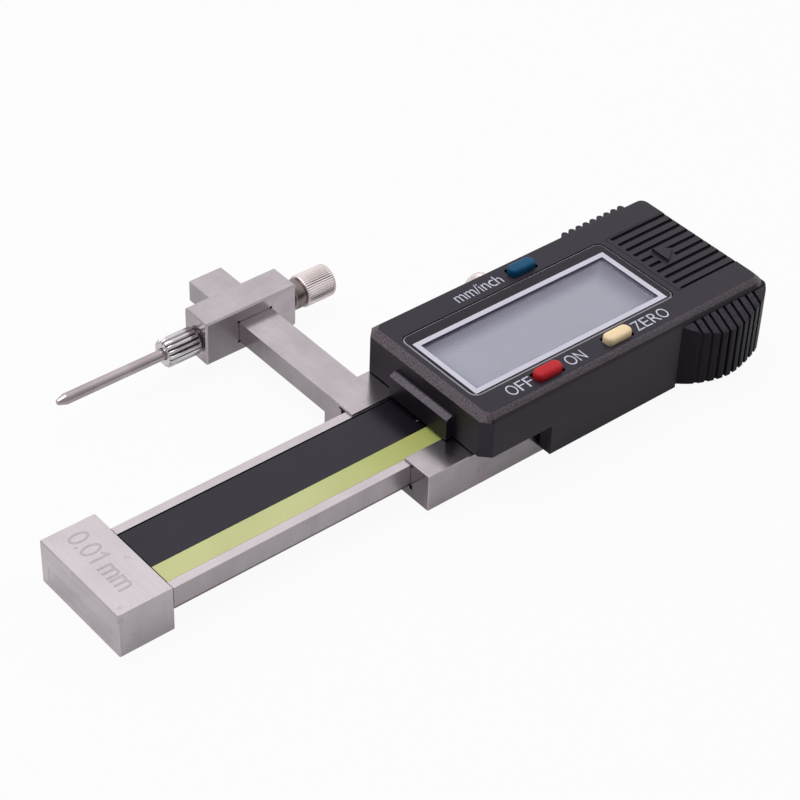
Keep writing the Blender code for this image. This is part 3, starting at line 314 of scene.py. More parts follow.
# Turned and plated parts have clouds only, no grinding streaks.
plainLook = {**steelLook, "shares": (0.0, 0.0, 1.0, 0.0), "depth": 0.0, "edge": 0.00003}
nickelLook = {**plainLook, "dark": (0.76, 0.68, 0.67), "light": (0.88, 0.80, 0.79), "roughness": (0.30, 0.36)}
# Rings of painted shade: the reach where each starts and where it is deepest, its share and its colour.
nickelRings = ((0.00281, 0.00269, 0.46, (0.26, 0.21, 0.19)), (0.00262, 0.00258, 0.80, (0.16, 0.13, 0.12)))
collarRings = ((0.00230, 0.00204, 0.8, (0.07, 0.06, 0.07)),)
probeAxis = {"axis": "X", "centre": (("Y", 0.03921), ("Z", 0.00027))}
lockAxis = {"axis": "Y", "centre": (("X", 0.09353), ("Z", 0.0))}
steelTable = {
    "footSteel": dict(steelLook, paintedShades=(("Y", "X", 0, 0.005, 0.14, 0.14),)),
    "beamSteel": dict(
        steelLook,
        streaks={"Facing X": (3000, 3000, 200), "Facing Y": (2800, 3000, 160), "Facing Z": (120, 3200, 3000)},
        # Painted shade on the front faces, and a painted dark line just above the lower chamfer.
        paintedShades=(("Y", "X", 0.005, 0.065, 0.34, 0.24), ("Y", "Z", -0.00166, -0.00152, 0.75, 0.0)),
    ),
    "sliderSteel": dict(
        steelLook,
        streaks={"Facing X": (3000, 3000, 160), "Facing Y": (420, 3000, 2600), "Facing Z": (2600, 200, 3000)},
        shares=(0.22, 0.18, 0.48, 0.12), roughness=(0.17, 0.25), depth=0.0000009,
        dark=(0.43, 0.385, 0.41), light=(0.60, 0.545, 0.58),
        paintedShades=(("X", "Y", -0.006, 0.011, 0.55, 0.28), ("Y", "X", 0.066, 0.090, 0.24, 0.32)),
    ),
    "clampSteel": dict(
        steelLook,
        streaks={"Facing X": (3000, 160, 3000), "Facing Y": (160, 3000, 3000), "Facing Z": (160, 2800, 3000)},
        shares=(0.18, 0.18, 0.52, 0.12), roughness=(0.24, 0.32), depth=0.0000006, edge=0.00004,
        dark=(0.43, 0.385, 0.415), light=(0.59, 0.54, 0.57), paintedShades=(("Y", "X", 0.041, 0.060, 0.76, 0.0),),
    ),
    "carbideGround": dict(steelLook, dark=(0.46, 0.42, 0.445), light=(0.67, 0.615, 0.645), paintedEdgeShine=0.0),
    "engravedSteel": dict(
        steelLook, dark=(0.30, 0.27, 0.28), light=(0.46, 0.42, 0.44), roughness=(0.35, 0.45), paintedEdgeShine=0.0,
    ),
    "engravedFloor": dict(
        steelLook, dark=(0.42, 0.38, 0.40), light=(0.58, 0.53, 0.56), roughness=(0.30, 0.40), paintedEdgeShine=0.0,
    ),
    "blackenedSteel": dict(
        steelLook, dark=(0.05, 0.05, 0.055), light=(0.14, 0.14, 0.15), roughness=(0.35, 0.5), paintedEdgeShine=0.25,
    ),
    "rolledBrass": dict(steelLook, dark=(0.55, 0.36, 0.13), light=(0.80, 0.60, 0.28), roughness=(0.28, 0.4)),
    # Brass darkened to near black for the gib strip: painted shade of the notch it shows in.
    "notchShadeBrass": dict(
        steelLook, dark=(0.05, 0.036, 0.02), light=(0.13, 0.095, 0.05), roughness=(0.35, 0.5), paintedEdgeShine=0.05,
    ),
    "pinSteel": dict(plainLook, dark=(0.40, 0.35, 0.36), light=(0.54, 0.48, 0.49), roughness=(0.22, 0.26)),
    "cellNickel": dict(plainLook, dark=(0.60, 0.55, 0.53), light=(0.74, 0.70, 0.68), roughness=(0.26, 0.32)),
    "brightChrome": dict(
        plainLook, dark=(0.62, 0.58, 0.61), light=(0.76, 0.72, 0.75), roughness=(0.16, 0.22),
        grooves={**probeAxis, "rings": collarRings},
    ),
    "clampNickel": dict(nickelLook, grooves={**probeAxis, "rings": nickelRings}),
    "lockNickel": dict(nickelLook, grooves={**lockAxis, "rings": nickelRings}),
}
finishes = {name: makeSteel(name, look) for name, look in steelTable.items()}
print("metals made")


def makePlastic(name, look):
    material, tree, shader = newCoating(name, look)
    grain = useGroup(tree, mouldGrain, {"Scale": look["grainScale"]})
    clouds = useGroup(tree, mottling, {"Cloud scale": look["clouds"]})["Clouds"]
    edges = useGroup(tree, roundedEdges, {"Radius": look["edge"]})
    colour = blendColours(tree, clouds, look["dark"], look["light"])
    rough = spread(tree, clouds, 0, 1, *look["roughness"])
    if look["chamfer"]:
        # The sloping faces round the top show the bare grain of the mould.
        sloping = between(tree, axes(tree, "Normal")["Z"], 0.35, 0.97)
        speckled = blendColours(tree, grain["Tone"], *look["chamfer"])
        colour = blendColours(tree, sloping, colour, speckled)
        rough = plus(tree, rough, times(tree, sloping, look["chamferRoughness"]))
    # Painted highlight along the edges.
    colour = blendColours(tree, times(tree, edges["Mask"], look["paintedEdgeShine"]), colour, look["paintedEdgeColour"])
    flecks = times(tree, dustMask(tree, look), look["dustStrength"])
    colour = blendColours(tree, flecks, colour, look["dustColour"])
    finish(tree, shader, colour, rough, bump(tree, grain["Height"], look["depth"], edges["Normal"]))
    return material


plasticLook = {
    "dark": (0.0048, 0.0034, 0.0066), "light": (0.0080, 0.0062, 0.0108), "clouds": 120.0, "grainScale": 4200.0,
    "specular": 0.44, "tint": (0.90, 0.78, 1.0), "roughness": (0.40, 0.46), "depth": 0.000004,
    "dustScale": 330.0, "dustShare": 0.03, "dustSize": 0.12, "dustStrength": 0.45,
    "dustColour": (0.6, 0.58, 0.56), "edge": 0.00015, "paintedEdgeShine": 0.2, "paintedEdgeColour": (0.045, 0.040, 0.048),
    "chamfer": ((0.050, 0.042, 0.048), (0.150, 0.128, 0.142)), "chamferRoughness": 0.10,
}
softLook = {**plasticLook, "tint": (1, 1, 1), "specular": 0.2, "chamfer": None}
capLook = {**softLook, "paintedEdgeShine": 0.5, "dustShare": 0.01, "roughness": (0.45, 0.55)}
plasticTable = {
    "satinBlack": plasticLook,
    "doorBlack": dict(plasticLook, chamfer=None, edge=0.0001),
    "gripBlack": dict(
        plasticLook, edge=0.00012, paintedEdgeShine=0.35, specular=0.16,
        chamfer=((0.022, 0.019, 0.024), (0.060, 0.053, 0.066)),
    ),
    "redCap": dict(
        capLook, dark=(0.42, 0.009, 0.016), light=(0.52, 0.016, 0.024), paintedEdgeColour=(0.66, 0.10, 0.10),
    ),
    "creamCap": dict(
        capLook, dark=(0.80, 0.62, 0.37), light=(0.90, 0.72, 0.46), paintedEdgeColour=(0.92, 0.86, 0.72),
        paintedEdgeShine=0.6,
    ),
    "tealCap": dict(
        capLook, dark=(0.001, 0.058, 0.135), light=(0.002, 0.080, 0.185), paintedEdgeColour=(0.03, 0.18, 0.27),
        roughness=(0.42, 0.52),
    ),
    "pinkRubber": dict(
        softLook, dark=(0.42, 0.20, 0.22), light=(0.55, 0.30, 0.32), paintedEdgeShine=0.0, roughness=(0.65, 0.75),
    ),
    "chipBlack": dict(
        plasticLook, dark=(0.010, 0.010, 0.012), light=(0.02, 0.02, 0.022), chamfer=None, roughness=(0.3, 0.4),
    ),
}
finishes.update((name, makePlastic(name, look)) for name, look in plasticTable.items())


def makePrinted(name, look):
    # Printed and painted layers: ink, tape and solder mask.
    material, tree, shader = newCoating(name, look)
    marks = useGroup(tree, mottling, {"Cloud scale": look["clouds"], "Spot scale": look["spots"]})
    flecks = dustMask(tree, look)
    tone = toneSum(tree, ((marks["Clouds"], 0.6), (marks["Spots"], 0.4)))
    colour = blendColours(tree, tone, look["dark"], look["light"])
    if look["shade"]:
        # A soft darkening towards one end, along X in metres.
        start, end, share, shadeColour = look["shade"]
        shaded = spread(tree, axes(tree, "Object")["X"], start, end, 0, share, smooth=True)
        colour = blendColours(tree, shaded, colour, shadeColour)
    colour = blendColours(tree, times(tree, flecks, look["dustStrength"]), colour, look["dustColour"])
    rough = spread(tree, marks["Clouds"], 0, 1, *look["roughness"])
    rough = plus(tree, rough, times(tree, flecks, look["dustRoughness"]))
    finish(tree, shader, colour, rough, bump(tree, marks["Spots"], look["depth"]))
    return material


printedLook = {
    "clouds": 90.0, "spots": 4200.0, "specular": 0.5, "tint": (1, 1, 1), "roughness": (0.3, 0.4),
    "depth": 0.0000008, "dustScale": 330.0, "dustShare": 0.05, "dustSize": 0.10, "dustStrength": 0.6,
    "dustColour": (0.55, 0.53, 0.58), "dustRoughness": 0.3, "shade": None,
}
printedTable = {
    "darkTape": dict(
        dark=(0.0045, 0.0035, 0.0065), light=(0.0075, 0.0060, 0.0105), specular=0.44, tint=(0.90, 0.80, 1.0),
        roughness=(0.20, 0.28), dustScale=420.0, dustShare=0.09, dustSize=0.09,
    ),
    "limeTape": dict(
        dark=(0.48, 0.50, 0.20), light=(0.55, 0.57, 0.26), roughness=(0.35, 0.45), dustStrength=0.15,
        shade=(0.030, 0.064, 0.6, (0.36, 0.40, 0.05)),
    ),
    "solderMask": dict(dark=(0.02, 0.11, 0.05), light=(0.04, 0.17, 0.08)),
    "frameInk": dict(
        dark=(0.575, 0.555, 0.64), light=(0.65, 0.63, 0.725), specular=0.0, roughness=(0.45, 0.55),
        dustStrength=0.0,
    ),
    "whiteInk": dict(
        dark=(0.50, 0.50, 0.61), light=(0.60, 0.60, 0.72), roughness=(0.45, 0.55), dustStrength=0.0,
    ),
    "blackInk": dict(
        dark=(0.004, 0.0035, 0.006), light=(0.007, 0.006, 0.010), specular=0.0, dustStrength=0.2,
    ),
    "maskInk": dict(
        dark=(0.0050, 0.0042, 0.0075), light=(0.0080, 0.0068, 0.0115), specular=0.29, tint=(0.92, 0.84, 1.0),
        roughness=(0.24, 0.28), depth=0.0, dustStrength=0.2,
    ),
}
finishes.update((name, makePrinted(name, {**printedLook, **look})) for name, look in printedTable.items())
print("plastics and printed layers made")

acrylicLook = {
    "colour": (0.93, 0.94, 0.96, 1.0), "ior": 1.18, "specularTint": (0.05, 0.05, 0.05, 1.0),
    "shadowColour": (0.93, 0.94, 0.95, 1.0), "scuffScale": (700, 14000, 900), "scuffShare": 0.10,
    "dustScale": 260.0, "dustShare": 0.05, "dustSize": 0.05, "dustStrength": 0.4,
    "rimTilt": (0.40, 0.98), "rimHighlightShare": 0.6, "rimHighlightColour": (0.60, 0.59, 0.64, 1.0), "rimRoughness": 0.3,
}


def makeAcrylic(name, look):
    material, tree, shader = newMaterial(
        name, Metallic=0.0, Transmission_Weight=1.0, IOR=look["ior"], Roughness=0.0, Base_Color=look["colour"],
        Specular_Tint=look["specularTint"],
    )
    # The softened rim gets a pale shader, a painted highlight as a pale line; scuffs and dust on the flat face
    # are pale too.
    tilt = axes(tree, "Normal")["Z"]
    scuffs = stretchedNoise(tree, look["scuffScale"], 3.0, 0.7)
    scuffs = spread(tree, scuffs, 0.68, 0.76, 0.0, look["scuffShare"])
    pale = maths(tree, "MAXIMUM", scuffs, times(tree, dustMask(tree, look), look["dustStrength"]))
    pale = times(tree, pale, maths(tree, "GREATER_THAN", tilt, look["rimTilt"][1]))
    steep = times(tree, between(tree, tilt, *look["rimTilt"]), look["rimHighlightShare"])
    inputs = {"Base Color": look["rimHighlightColour"], "Roughness": look["rimRoughness"]}
    rim = addNode(tree, "ShaderNodeBsdfPrincipled", None, inputs)
    glass = mixShaders(tree, maths(tree, "MAXIMUM", pale, steep), shader, rim)
    # Lets the light through to the display without the noise of caustics.
    shadow = addNode(tree, "ShaderNodeLightPath").outputs["Is Shadow Ray"]
    clear = addNode(tree, "ShaderNodeBsdfTransparent", None, {"Color": look["shadowColour"]})
    surface = mixShaders(tree, shadow, glass, clear)
    tree.links.new(surface.outputs[0], tree.nodes["Material Output"].inputs["Surface"])
    return material


displayLook = {
    "dark": (0.236, 0.238, 0.272), "light": (0.246, 0.249, 0.286), "clouds": 60.0, "spots": 2200.0,
    "roughness": (0.28, 0.30), "depth": 0.00000025, "paintedEdgeShade": 0.80, "paintedEdgeColour": (0.080, 0.068, 0.105),
    "edges": (("Y", 0.00102, 0.00482), ("X", 0.09935, 0.10535), ("X", 0.06835, 0.06585)),
}


def makeDisplay(name, look):
    # A blank liquid crystal panel, with painted shade along its back and its ends, where it lies deep under the
    # frame.
    material, tree, shader = newMaterial(name, Metallic=0.0, Specular_IOR_Level=0.5)
    marks = useGroup(tree, mottling, {"Cloud scale": look["clouds"], "Spot scale": look["spots"]})
    edge = 0.0
    for axis, start, end in look["edges"]:
        near = spread(tree, axes(tree, "Object")[axis], start, end, smooth=True)
        edge = maths(tree, "MAXIMUM", edge, near)
    colour = blendColours(tree, marks["Clouds"], look["dark"], look["light"])
    colour = blendColours(tree, times(tree, edge, look["paintedEdgeShade"]), colour, look["paintedEdgeColour"])
    rough = spread(tree, marks["Clouds"], 0, 1, *look["roughness"])
    finish(tree, shader, colour, rough, bump(tree, marks["Spots"], look["depth"]))
    return material


finishes["clearAcrylic"] = makeAcrylic("clearAcrylic", acrylicLook)
finishes["blankDisplay"] = makeDisplay("blankDisplay", displayLook)
print("lens and display materials made")


# Mesh helpers

def finishPiece(name, form, finishName, body, replaced=(), slot=None, smoothAngle=35, evened=False):
    bmesh.ops.recalc_face_normals(form, faces=form.faces)
    mesh = bpy.data.meshes.new(name)
    form.to_mesh(mesh)
    form.free()
    mesh.materials.append(finishes[finishName])
    mesh.shade_smooth()
    mesh.set_sharp_from_angle(angle=math.radians(smoothAngle))
    piece = bpy.data.objects.new(name, mesh)
    scene.collection.objects.link(piece)
    if evened:
        # Keeps the large flat faces flat beside small rounded ones.
        softener = piece.modifiers.new("weighted", "WEIGHTED_NORMAL")
        softener.keep_sharp = True
        softener.weight = 100
    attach(piece, body)
    if replaced:
        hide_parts(*replaced)


def nodeForm(name, flatDegrees=0.6):
    # A CAD node's mesh with its loose triangles joined and its flat faces whole again.
    form = bmesh.new()
    form.from_mesh(nodes[name].data)
    bmesh.ops.remove_doubles(form, verts=form.verts, dist=0.000002)
    bmesh.ops.dissolve_limit(form, angle_limit=math.radians(flatDegrees), verts=form.verts, edges=form.edges)
    return form


def addPart(form, part):
    mesh = bpy.data.meshes.new("part")
    part.to_mesh(mesh)
    part.free()
    form.from_mesh(mesh)
    bpy.data.meshes.remove(mesh)


def thicken(form, faces, rise):
    raised = bmesh.ops.extrude_face_region(form, geom=faces)["geom"]
    fresh = [item for item in raised if isinstance(item, bmesh.types.BMVert)]
    bmesh.ops.translate(form, verts=fresh, vec=(0, 0, rise))


def cutAway(form, point, way):
    # Takes off what lies past a plane, and closes the cut.
    whole = form.verts[:] + form.edges[:] + form.faces[:]
    cut = bmesh.ops.bisect_plane(form, geom=whole, plane_co=point, plane_no=way, clear_outer=True)["geom_cut"]
    rim = [item for item in cut if isinstance(item, bmesh.types.BMEdge)]
    if rim:
        bmesh.ops.holes_fill(form, edges=rim, sides=0)


def roundEdges(form, pick, width, segments):
    chosen = [edge for edge in form.edges if pick(edge)]
    bmesh.ops.bevel(
        form, geom=chosen, offset=width, offset_type="OFFSET", segments=segments, profile=0.5, affect="EDGES",
        material=-1,
    )


def isUpright(edge):
    way = edge.verts[1].co - edge.verts[0].co
    return abs(way.z) > 0.99 * way.length


def atHeight(height):
    return lambda edge: all(abs(vert.co.z - height) < 0.000002 for vert in edge.verts)


def padForm(low, high, corner, rim, rimSegments=3):
    # A slab with rounded corners and a softened upper rim.
    form = bmesh.new()
    low, high = Vector(low), Vector(high)
    size = Matrix.Diagonal((*(high - low), 1))
    bmesh.ops.create_cube(form, size=1, matrix=Matrix.Translation((low + high) / 2) @ size)
    roundEdges(form, isUpright, corner, 8)
    roundEdges(form, atHeight(high.z), rim, rimSegments)
    return form


axisTurns = {
    "X": Matrix(((0, 0, 1), (1, 0, 0), (0, 1, 0))).to_4x4(),
    "Y": Matrix(((0, 1, 0), (0, 0, 1), (1, 0, 0))).to_4x4(),
}


def layAlong(form, axis, origin):
    bmesh.ops.transform(form, verts=form.verts, matrix=Matrix.Translation(origin) @ axisTurns[axis])


def turnedForm(profile, steps=48):
    # Pairs of radius and height, spun round Z.
    form = bmesh.new()
    verts = [form.verts.new((radius, 0, height)) for radius, height in profile]
    edges = [form.edges.new(pair) for pair in zip(verts, verts[1:])]
    bmesh.ops.spin(
        form, geom=verts + edges, cent=(0, 0, 0), axis=(0, 0, 1), angle=math.tau, steps=steps, use_merge=True,
    )
    bmesh.ops.remove_doubles(form, verts=form.verts, dist=0.000001)
    return form


def stackedForm(levels, count, place):
    # Rings stacked from end to end; place turns an angle and a level's own numbers into a point.
    form = bmesh.new()
    bmesh.ops.create_circle(form, segments=count, radius=1)
    loop = list(form.edges)
    bmesh.ops.contextual_create(form, geom=loop)
    for number in range(1, len(levels)):
        grown = bmesh.ops.extrude_edge_only(form, edges=loop)["geom"]
        fresh = {item for item in grown if isinstance(item, bmesh.types.BMVert)}
        loop = [item for item in grown if isinstance(item, bmesh.types.BMEdge) and fresh.issuperset(item.verts)]
        for vert in fresh:
            vert.co.z = number
    bmesh.ops.contextual_create(form, geom=loop)
    for vert in form.verts:
        vert.co = place(math.atan2(vert.co.y, vert.co.x), *levels[round(vert.co.z)])
    return form


def ribbedForm(levels, teeth, cuts, wave):
    # Each level is a height, a radius and a rib depth.
    def place(angle, height, radius, depth):
        reach = radius - depth * wave((angle * teeth / math.tau) % 1)
        return (reach * math.cos(angle), reach * math.sin(angle), height)

    return stackedForm(levels, teeth * cuts, place)


# Nodes that keep their shape and get a finish

nodeFinishes = {
    "footSteel": ["foot_block"], "carbideGround": ["foot_wear_strip"], "sliderSteel": ["slider_frame"],
    "clampSteel": ["clamp_block"], "beamSteel": ["beam_stop"], "blackInk": ["scale_board"],
    "darkTape": ["scale_label"], "limeTape": ["scale_stripe"], "notchShadeBrass": ["gib_strip"],
    "rolledBrass": ["clamp_pad", "battery_contact_negative", "battery_contact_positive"],
    "cellNickel": ["battery"], "solderMask": ["circuit_board"], "chipBlack": ["controller_chip"],
    "pinkRubber": ["contact_rubber_1", "contact_rubber_2"], "blankDisplay": ["display_panel"],
    "doorBlack": ["battery_door"], "blackenedSteel": ["switch_off_on", "switch_zero", "switch_mm_inch"],
}
for finishName, nodeNames in nodeFinishes.items():
    for nodeName in nodeNames:
        mesh = nodes[nodeName].data
        mesh.materials.clear()
        mesh.materials.append(finishes[finishName])

# Small round nodes, made smooth
roundNodes = (
    ("probe_body", "pinSteel", "brushed_steel", ["probe_pin"]),
    ("beam_body", "blackenedSteel", "blackened_steel",
     ["foot_screw_1", "foot_screw_2", "stop_screw_1", "stop_screw_2"]),
    ("slider_body", "blackenedSteel", "blackened_steel",
     ["gib_screw_1", "gib_screw_2", *(f"housing_screw_{number}" for number in range(1, 5))]),
)
for body, finishName, slotName, nodeNames in roundNodes:
    for nodeName in nodeNames:
        finishPiece(nodeName + "_smooth", nodeForm(nodeName), finishName, body, [nodeName], slotName)

# The beam's end sits tight against the foot's shoulder.
form = nodeForm("beam")
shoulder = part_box("foot_block")[1].x
fitGap = 0.0001
for vert in form.verts:
    if 0 < vert.co.x - shoulder < fitGap:
        vert.co.x = shoulder
finishPiece("beam_bar", form, "beamSteel", "beam_body", ["beam"], "brushed_steel")
print("nodes finished")


# Housing: the moulded shell, with its ribbed front grip made anew

housingShape = {
    "halfWidth": 0.01487, "top": 0.010845, "right": 0.12382, "gripLeft": 0.10440, "gripLength": 0.01942,
    "bulge": 0.003646, "slope": 0.60, "shoulder": 0.009425, "bottom": -0.002235, "leanHeight": 0.0096,
    "lean": 0.0019, "firstGroove": 0.00268, "groovePitch": 0.00166, "grooveWidth": 0.00046,
    "grooveDepth": 0.00062, "ribRound": 0.00019, "depthShares": (0.35, 0.45, 0.60, 0.80, 1, 1, 1, 1, 1),
    "root": 0.0016, "leastRib": 0.0001, "spare": 0.0005, "endGap": 0.00004, "bottomGap": 0.00002,
    "topRise": 0.000015, "cutGap": 0.00003, "coreEnds": 0.001, "overrun": 0.0002,
    "outline": (
        (0.00, 0.00), (0.06, 0.27), (0.12, 0.49), (0.20, 0.69), (0.28, 0.85), (0.36, 0.95), (0.44, 1.00),
        (0.53, 0.97), (0.62, 0.88), (0.72, 0.74), (0.82, 0.57), (0.88, 0.43), (0.92, 0.31), (0.95, 0.19),
        (0.975, 0.05), (0.99, -0.10), (1.00, -0.24),
    ),
}
pocketGrowth = {
    "left": 0.00030, "right": 0.00012, "front": 0.00050, "back": 0.00004, "near": 0.00012, "depth": 0.0002,
}
lensShape = {
    "corner": 0.0015, "rim": 0.00024, "filmRoom": 0.0002, "filmGap": 0.00002, "ink": 0.000006,
    "inkGap": 0.000003, "margin": 0.00024, "whiteOuter": ((0.06596, -0.00878), (0.10666, 0.00655)),
    "whiteInner": ((0.06688, -0.00783), (0.10568, 0.00557)),
}


def gripReach(x):
    # How far the grip stands out from the wall at x, on a smooth line through the outline.
    shape = housingShape
    share = (x - shape["gripLeft"]) / shape["gripLength"]
    points = shape["outline"]
    if share <= 0:
        return 0.0
    if share >= 1:
        return points[-1][1] * shape["bulge"]
    number = max(n for n in range(len(points) - 1) if points[n][0] <= share)
    (x0, y0), (x1, y1) = points[number], points[number + 1]
    before = points[number - 1] if number else (2 * x0 - x1, 2 * y0 - y1)
    after = points[number + 2] if number + 2 < len(points) else (2 * x1 - x0, 2 * y1 - y0)
    step = (share - x0) / (x1 - x0)
    slope0 = (y1 - before[1]) / (x1 - before[0]) * (x1 - x0)
    slope1 = (after[1] - y0) / (after[0] - x0) * (x1 - x0)
    smooth = (
        (2 * step ** 3 - 3 * step ** 2 + 1) * y0 + (step ** 3 - 2 * step ** 2 + step) * slope0
        + (3 * step ** 2 - 2 * step ** 3) * y1 + (step ** 3 - step ** 2) * slope1
    )
    return smooth * shape["bulge"]


def gripSlab(form, xs, inset, rounding):
    # One upright slice of the grip between two x values, cut to the sloping top and the leaning end.
    shape = housingShape
    wall, bottom, end = shape["halfWidth"], shape["bottom"], shape["right"] - shape["endGap"]
    inner = wall - shape["root"]
    part = bmesh.new()
    line = [(x, max(wall + gripReach(x) - inset(x), inner + shape["leastRib"])) for x in xs]
    line += [(xs[-1], inner), (xs[0], inner)]
    face = part.faces.new([part.verts.new((x, -y, bottom + shape["bottomGap"])) for x, y in line])
    thicken(part, [face], shape["shoulder"] + shape["spare"] - bottom)
    deepest = max(inset(x) for x in xs)
    cutAway(part, (0, 0, shape["shoulder"] + shape["topRise"] - deepest), (0, 0, 1))
    cutAway(part, (0, -wall, shape["shoulder"] - deepest), (0, -shape["slope"], 1))
    cutAway(part, (end, 0, 0), (1, 0, 0))
    cutAway(part, (end, 0, bottom + shape["leanHeight"]), (shape["leanHeight"], 0, -shape["lean"]))
    bmesh.ops.recalc_face_normals(part, faces=part.faces)

    def standsOut(edge):
        return (
            len(edge.link_faces) == 2 and edge.calc_face_angle(0) > math.radians(25)
            and max(abs(vert.co.y) for vert in edge.verts) > wall + 0.00005
            and max(vert.co.z for vert in edge.verts) > bottom + 0.0001
        )

    if rounding:
        roundEdges(part, standsOut, rounding, 3)
    addPart(form, part)


def sampled(low, high, count):
    return [low + (high - low) * step / count for step in range(count + 1)]


def outlineDistance(point, low, high, corner):
    # Distance in X and Y from the outline of a rectangle with rounded corners.
    middle, half = (low + high) / 2, (high - low) / 2
    past = [abs(point[axis] - middle[axis]) - half[axis] + corner for axis in (0, 1)]
    return abs(math.hypot(max(past[0], 0), max(past[1], 0)) + min(max(past), 0) - corner)


def widenPocket(form):
    # The clear window fills a pocket that is a little larger on three sides than its seat.
    low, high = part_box("display_lens")
    grow, corner = pocketGrowth, lensShape["corner"]
    floor = low.z - grow["depth"]
    for vert in form.verts:
        if vert.co.z > floor and outlineDistance(vert.co, low, high, corner) < grow["near"]:
            vert.co.x += grow["right"] if vert.co.x > (low.x + high.x) / 2 else -grow["left"]
            vert.co.y += grow["back"] if vert.co.y > 0 else -grow["front"]


def makeHousing():
    shape = housingShape
    form = nodeForm("housing")
    widenPocket(form)
    cutAway(form, (0, -shape["halfWidth"] - shape["cutGap"], 0), (0, -1, 0))
    finishPiece("housing_shell", form, "satinBlack", "slider_body", ["housing"], "black_plastic", 32, True)
    grips = bmesh.new()
    middles = [shape["gripLeft"] + shape["firstGroove"] + step * shape["groovePitch"] for step in range(9)]

    def valleyDepth(x):
        place = (x - middles[0]) / shape["groovePitch"]
        number = min(max(int(place), 0), 7)
        shares = shape["depthShares"]
        part = min(max(place - number, 0), 1)
        return shape["grooveDepth"] * (shares[number] + (shares[number + 1] - shares[number]) * part)

    starts = [shape["gripLeft"]] + [x + shape["grooveWidth"] / 2 for x in middles]
    ends = [x - shape["grooveWidth"] / 2 for x in middles] + [shape["right"] + shape["overrun"]]
    core = sampled(middles[0] - shape["coreEnds"], middles[-1] + shape["coreEnds"], 26)
    gripSlab(grips, core, valleyDepth, 0)
    for number, (low, high) in enumerate(zip(starts, ends)):
        gripSlab(grips, sampled(low, high, 8 if number in (0, 9) else 5), lambda x: 0.0, shape["ribRound"])
    finishPiece("housing_grip", grips, "gripBlack", "slider_body", (), "black_plastic", 40, True)


makeHousing()
print("housing made")


# Buttons: caps with round ends, a soft rim and a low crown

buttonShape = {
    "length": 0.0053, "width": 0.0024, "corner": 0.0011, "count": 64, "crown": 0.0010,
    "levels": ((0, 0.40), (0.025, 0.58), (0.08, 0.74), (0.17, 0.86), (0.30, 0.94), (0.50, 0.985), (0.75, 1.0)),
}


def makeButton(nodeName, body, finishName, slotName):
    shape = buttonShape
    low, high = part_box(nodeName)
    middle = (low + high) / 2
    corner = shape["corner"]
    reach = (shape["length"] / 2 - corner, shape["width"] / 2 - corner)

    def place(angle, inset, height):
        turned = angle + math.pi / shape["count"]
        across, along = math.cos(turned), math.sin(turned)
        return (
            middle.x + math.copysign(reach[0], across) + (corner - inset) * across,
            middle.y + math.copysign(reach[1], along) + (corner - inset) * along, height,
        )

    levels = [(inset * corner, high.z - shape["crown"] * (1 - rise)) for inset, rise in shape["levels"]]
    form = stackedForm([(0, low.z)] + levels, shape["count"], place)
    finishPiece(nodeName + "_cap", form, finishName, body, [nodeName], slotName, 60)


makeButton("button_off_on", "off_on_body", "redCap", "button_red")
makeButton("button_zero", "zero_body", "creamCap", "button_yellow")
makeButton("button_mm_inch", "mm_inch_body", "tealCap", "button_blue")
print("buttons made")


# Lens with its printed mask and white frame on top

def ringForm(outerLow, outerHigh, innerLow, innerHigh, bottom, top, corner=0):
    # A flat rectangular ring: an inset face with its middle taken out, given its thickness by an extrusion.
    form = bmesh.new()
    middle = ((outerLow[0] + outerHigh[0]) / 2, (outerLow[1] + outerHigh[1]) / 2, bottom)
    size = Matrix.Diagonal((outerHigh[0] - outerLow[0], outerHigh[1] - outerLow[1], 1, 1))
    bmesh.ops.create_grid(form, x_segments=1, y_segments=1, size=0.5, matrix=Matrix.Translation(middle) @ size)
    if corner:
        bmesh.ops.bevel(
            form, geom=form.verts[:], offset=corner, offset_type="OFFSET", segments=8, profile=0.5,
            affect="VERTICES",
        )
    centre = form.faces[:]
    bmesh.ops.inset_region(form, faces=centre, thickness=0.0005, use_boundary=True)
    for vert in centre[0].verts:
        vert.co.x = innerLow[0] if vert.co.x < middle[0] else innerHigh[0]
        vert.co.y = innerLow[1] if vert.co.y < middle[1] else innerHigh[1]
    bmesh.ops.delete(form, geom=centre, context="FACES_ONLY")
    bmesh.ops.remove_doubles(form, verts=form.verts, dist=0.000001)
    thicken(form, form.faces[:], top - bottom)
    return form


def makeLens():
    shape = lensShape
    low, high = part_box("display_lens")
    low = low - Vector((pocketGrowth["left"], pocketGrowth["front"], 0))
    high = high + Vector((pocketGrowth["right"], pocketGrowth["back"], 0))
    lensBottom = low.z + shape["filmRoom"]
    form = padForm((low.x, low.y, lensBottom), high, shape["corner"], shape["rim"])
    finishPiece("lens_clear", form, "clearAcrylic", "slider_body", ["display_lens"], "clear_plastic", 30)
    maskLow = low + Vector((shape["margin"], shape["margin"], 0))
    maskHigh = high - Vector((shape["margin"], shape["margin"], 0))
    corner = shape["corner"] - shape["margin"]
    maskBottom = high.z + shape["inkGap"]
    maskTop = maskBottom + shape["ink"]
    form = ringForm(maskLow, maskHigh, *shape["whiteInner"], maskBottom, maskTop, corner)
    finishPiece("lens_black_mask", form, "maskInk", "slider_body")
    whiteBottom = maskTop + shape["inkGap"]
    form = ringForm(*shape["whiteOuter"], *shape["whiteInner"], whiteBottom, whiteBottom + shape["ink"])
    finishPiece("lens_white_frame", form, "frameInk", "slider_body")
    # The display's front film lies in the room under the lens and hides the roof's window.
    filmLow = (maskLow.x, maskLow.y, low.z + shape["inkGap"])
    filmHigh = (maskHigh.x, maskHigh.y, lensBottom - shape["filmGap"])
    form = padForm(filmLow, filmHigh, corner, shape["ink"], 1)
    finishPiece("display_film", form, "blankDisplay", "slider_body")


makeLens()
print("lens made")


# Lettering

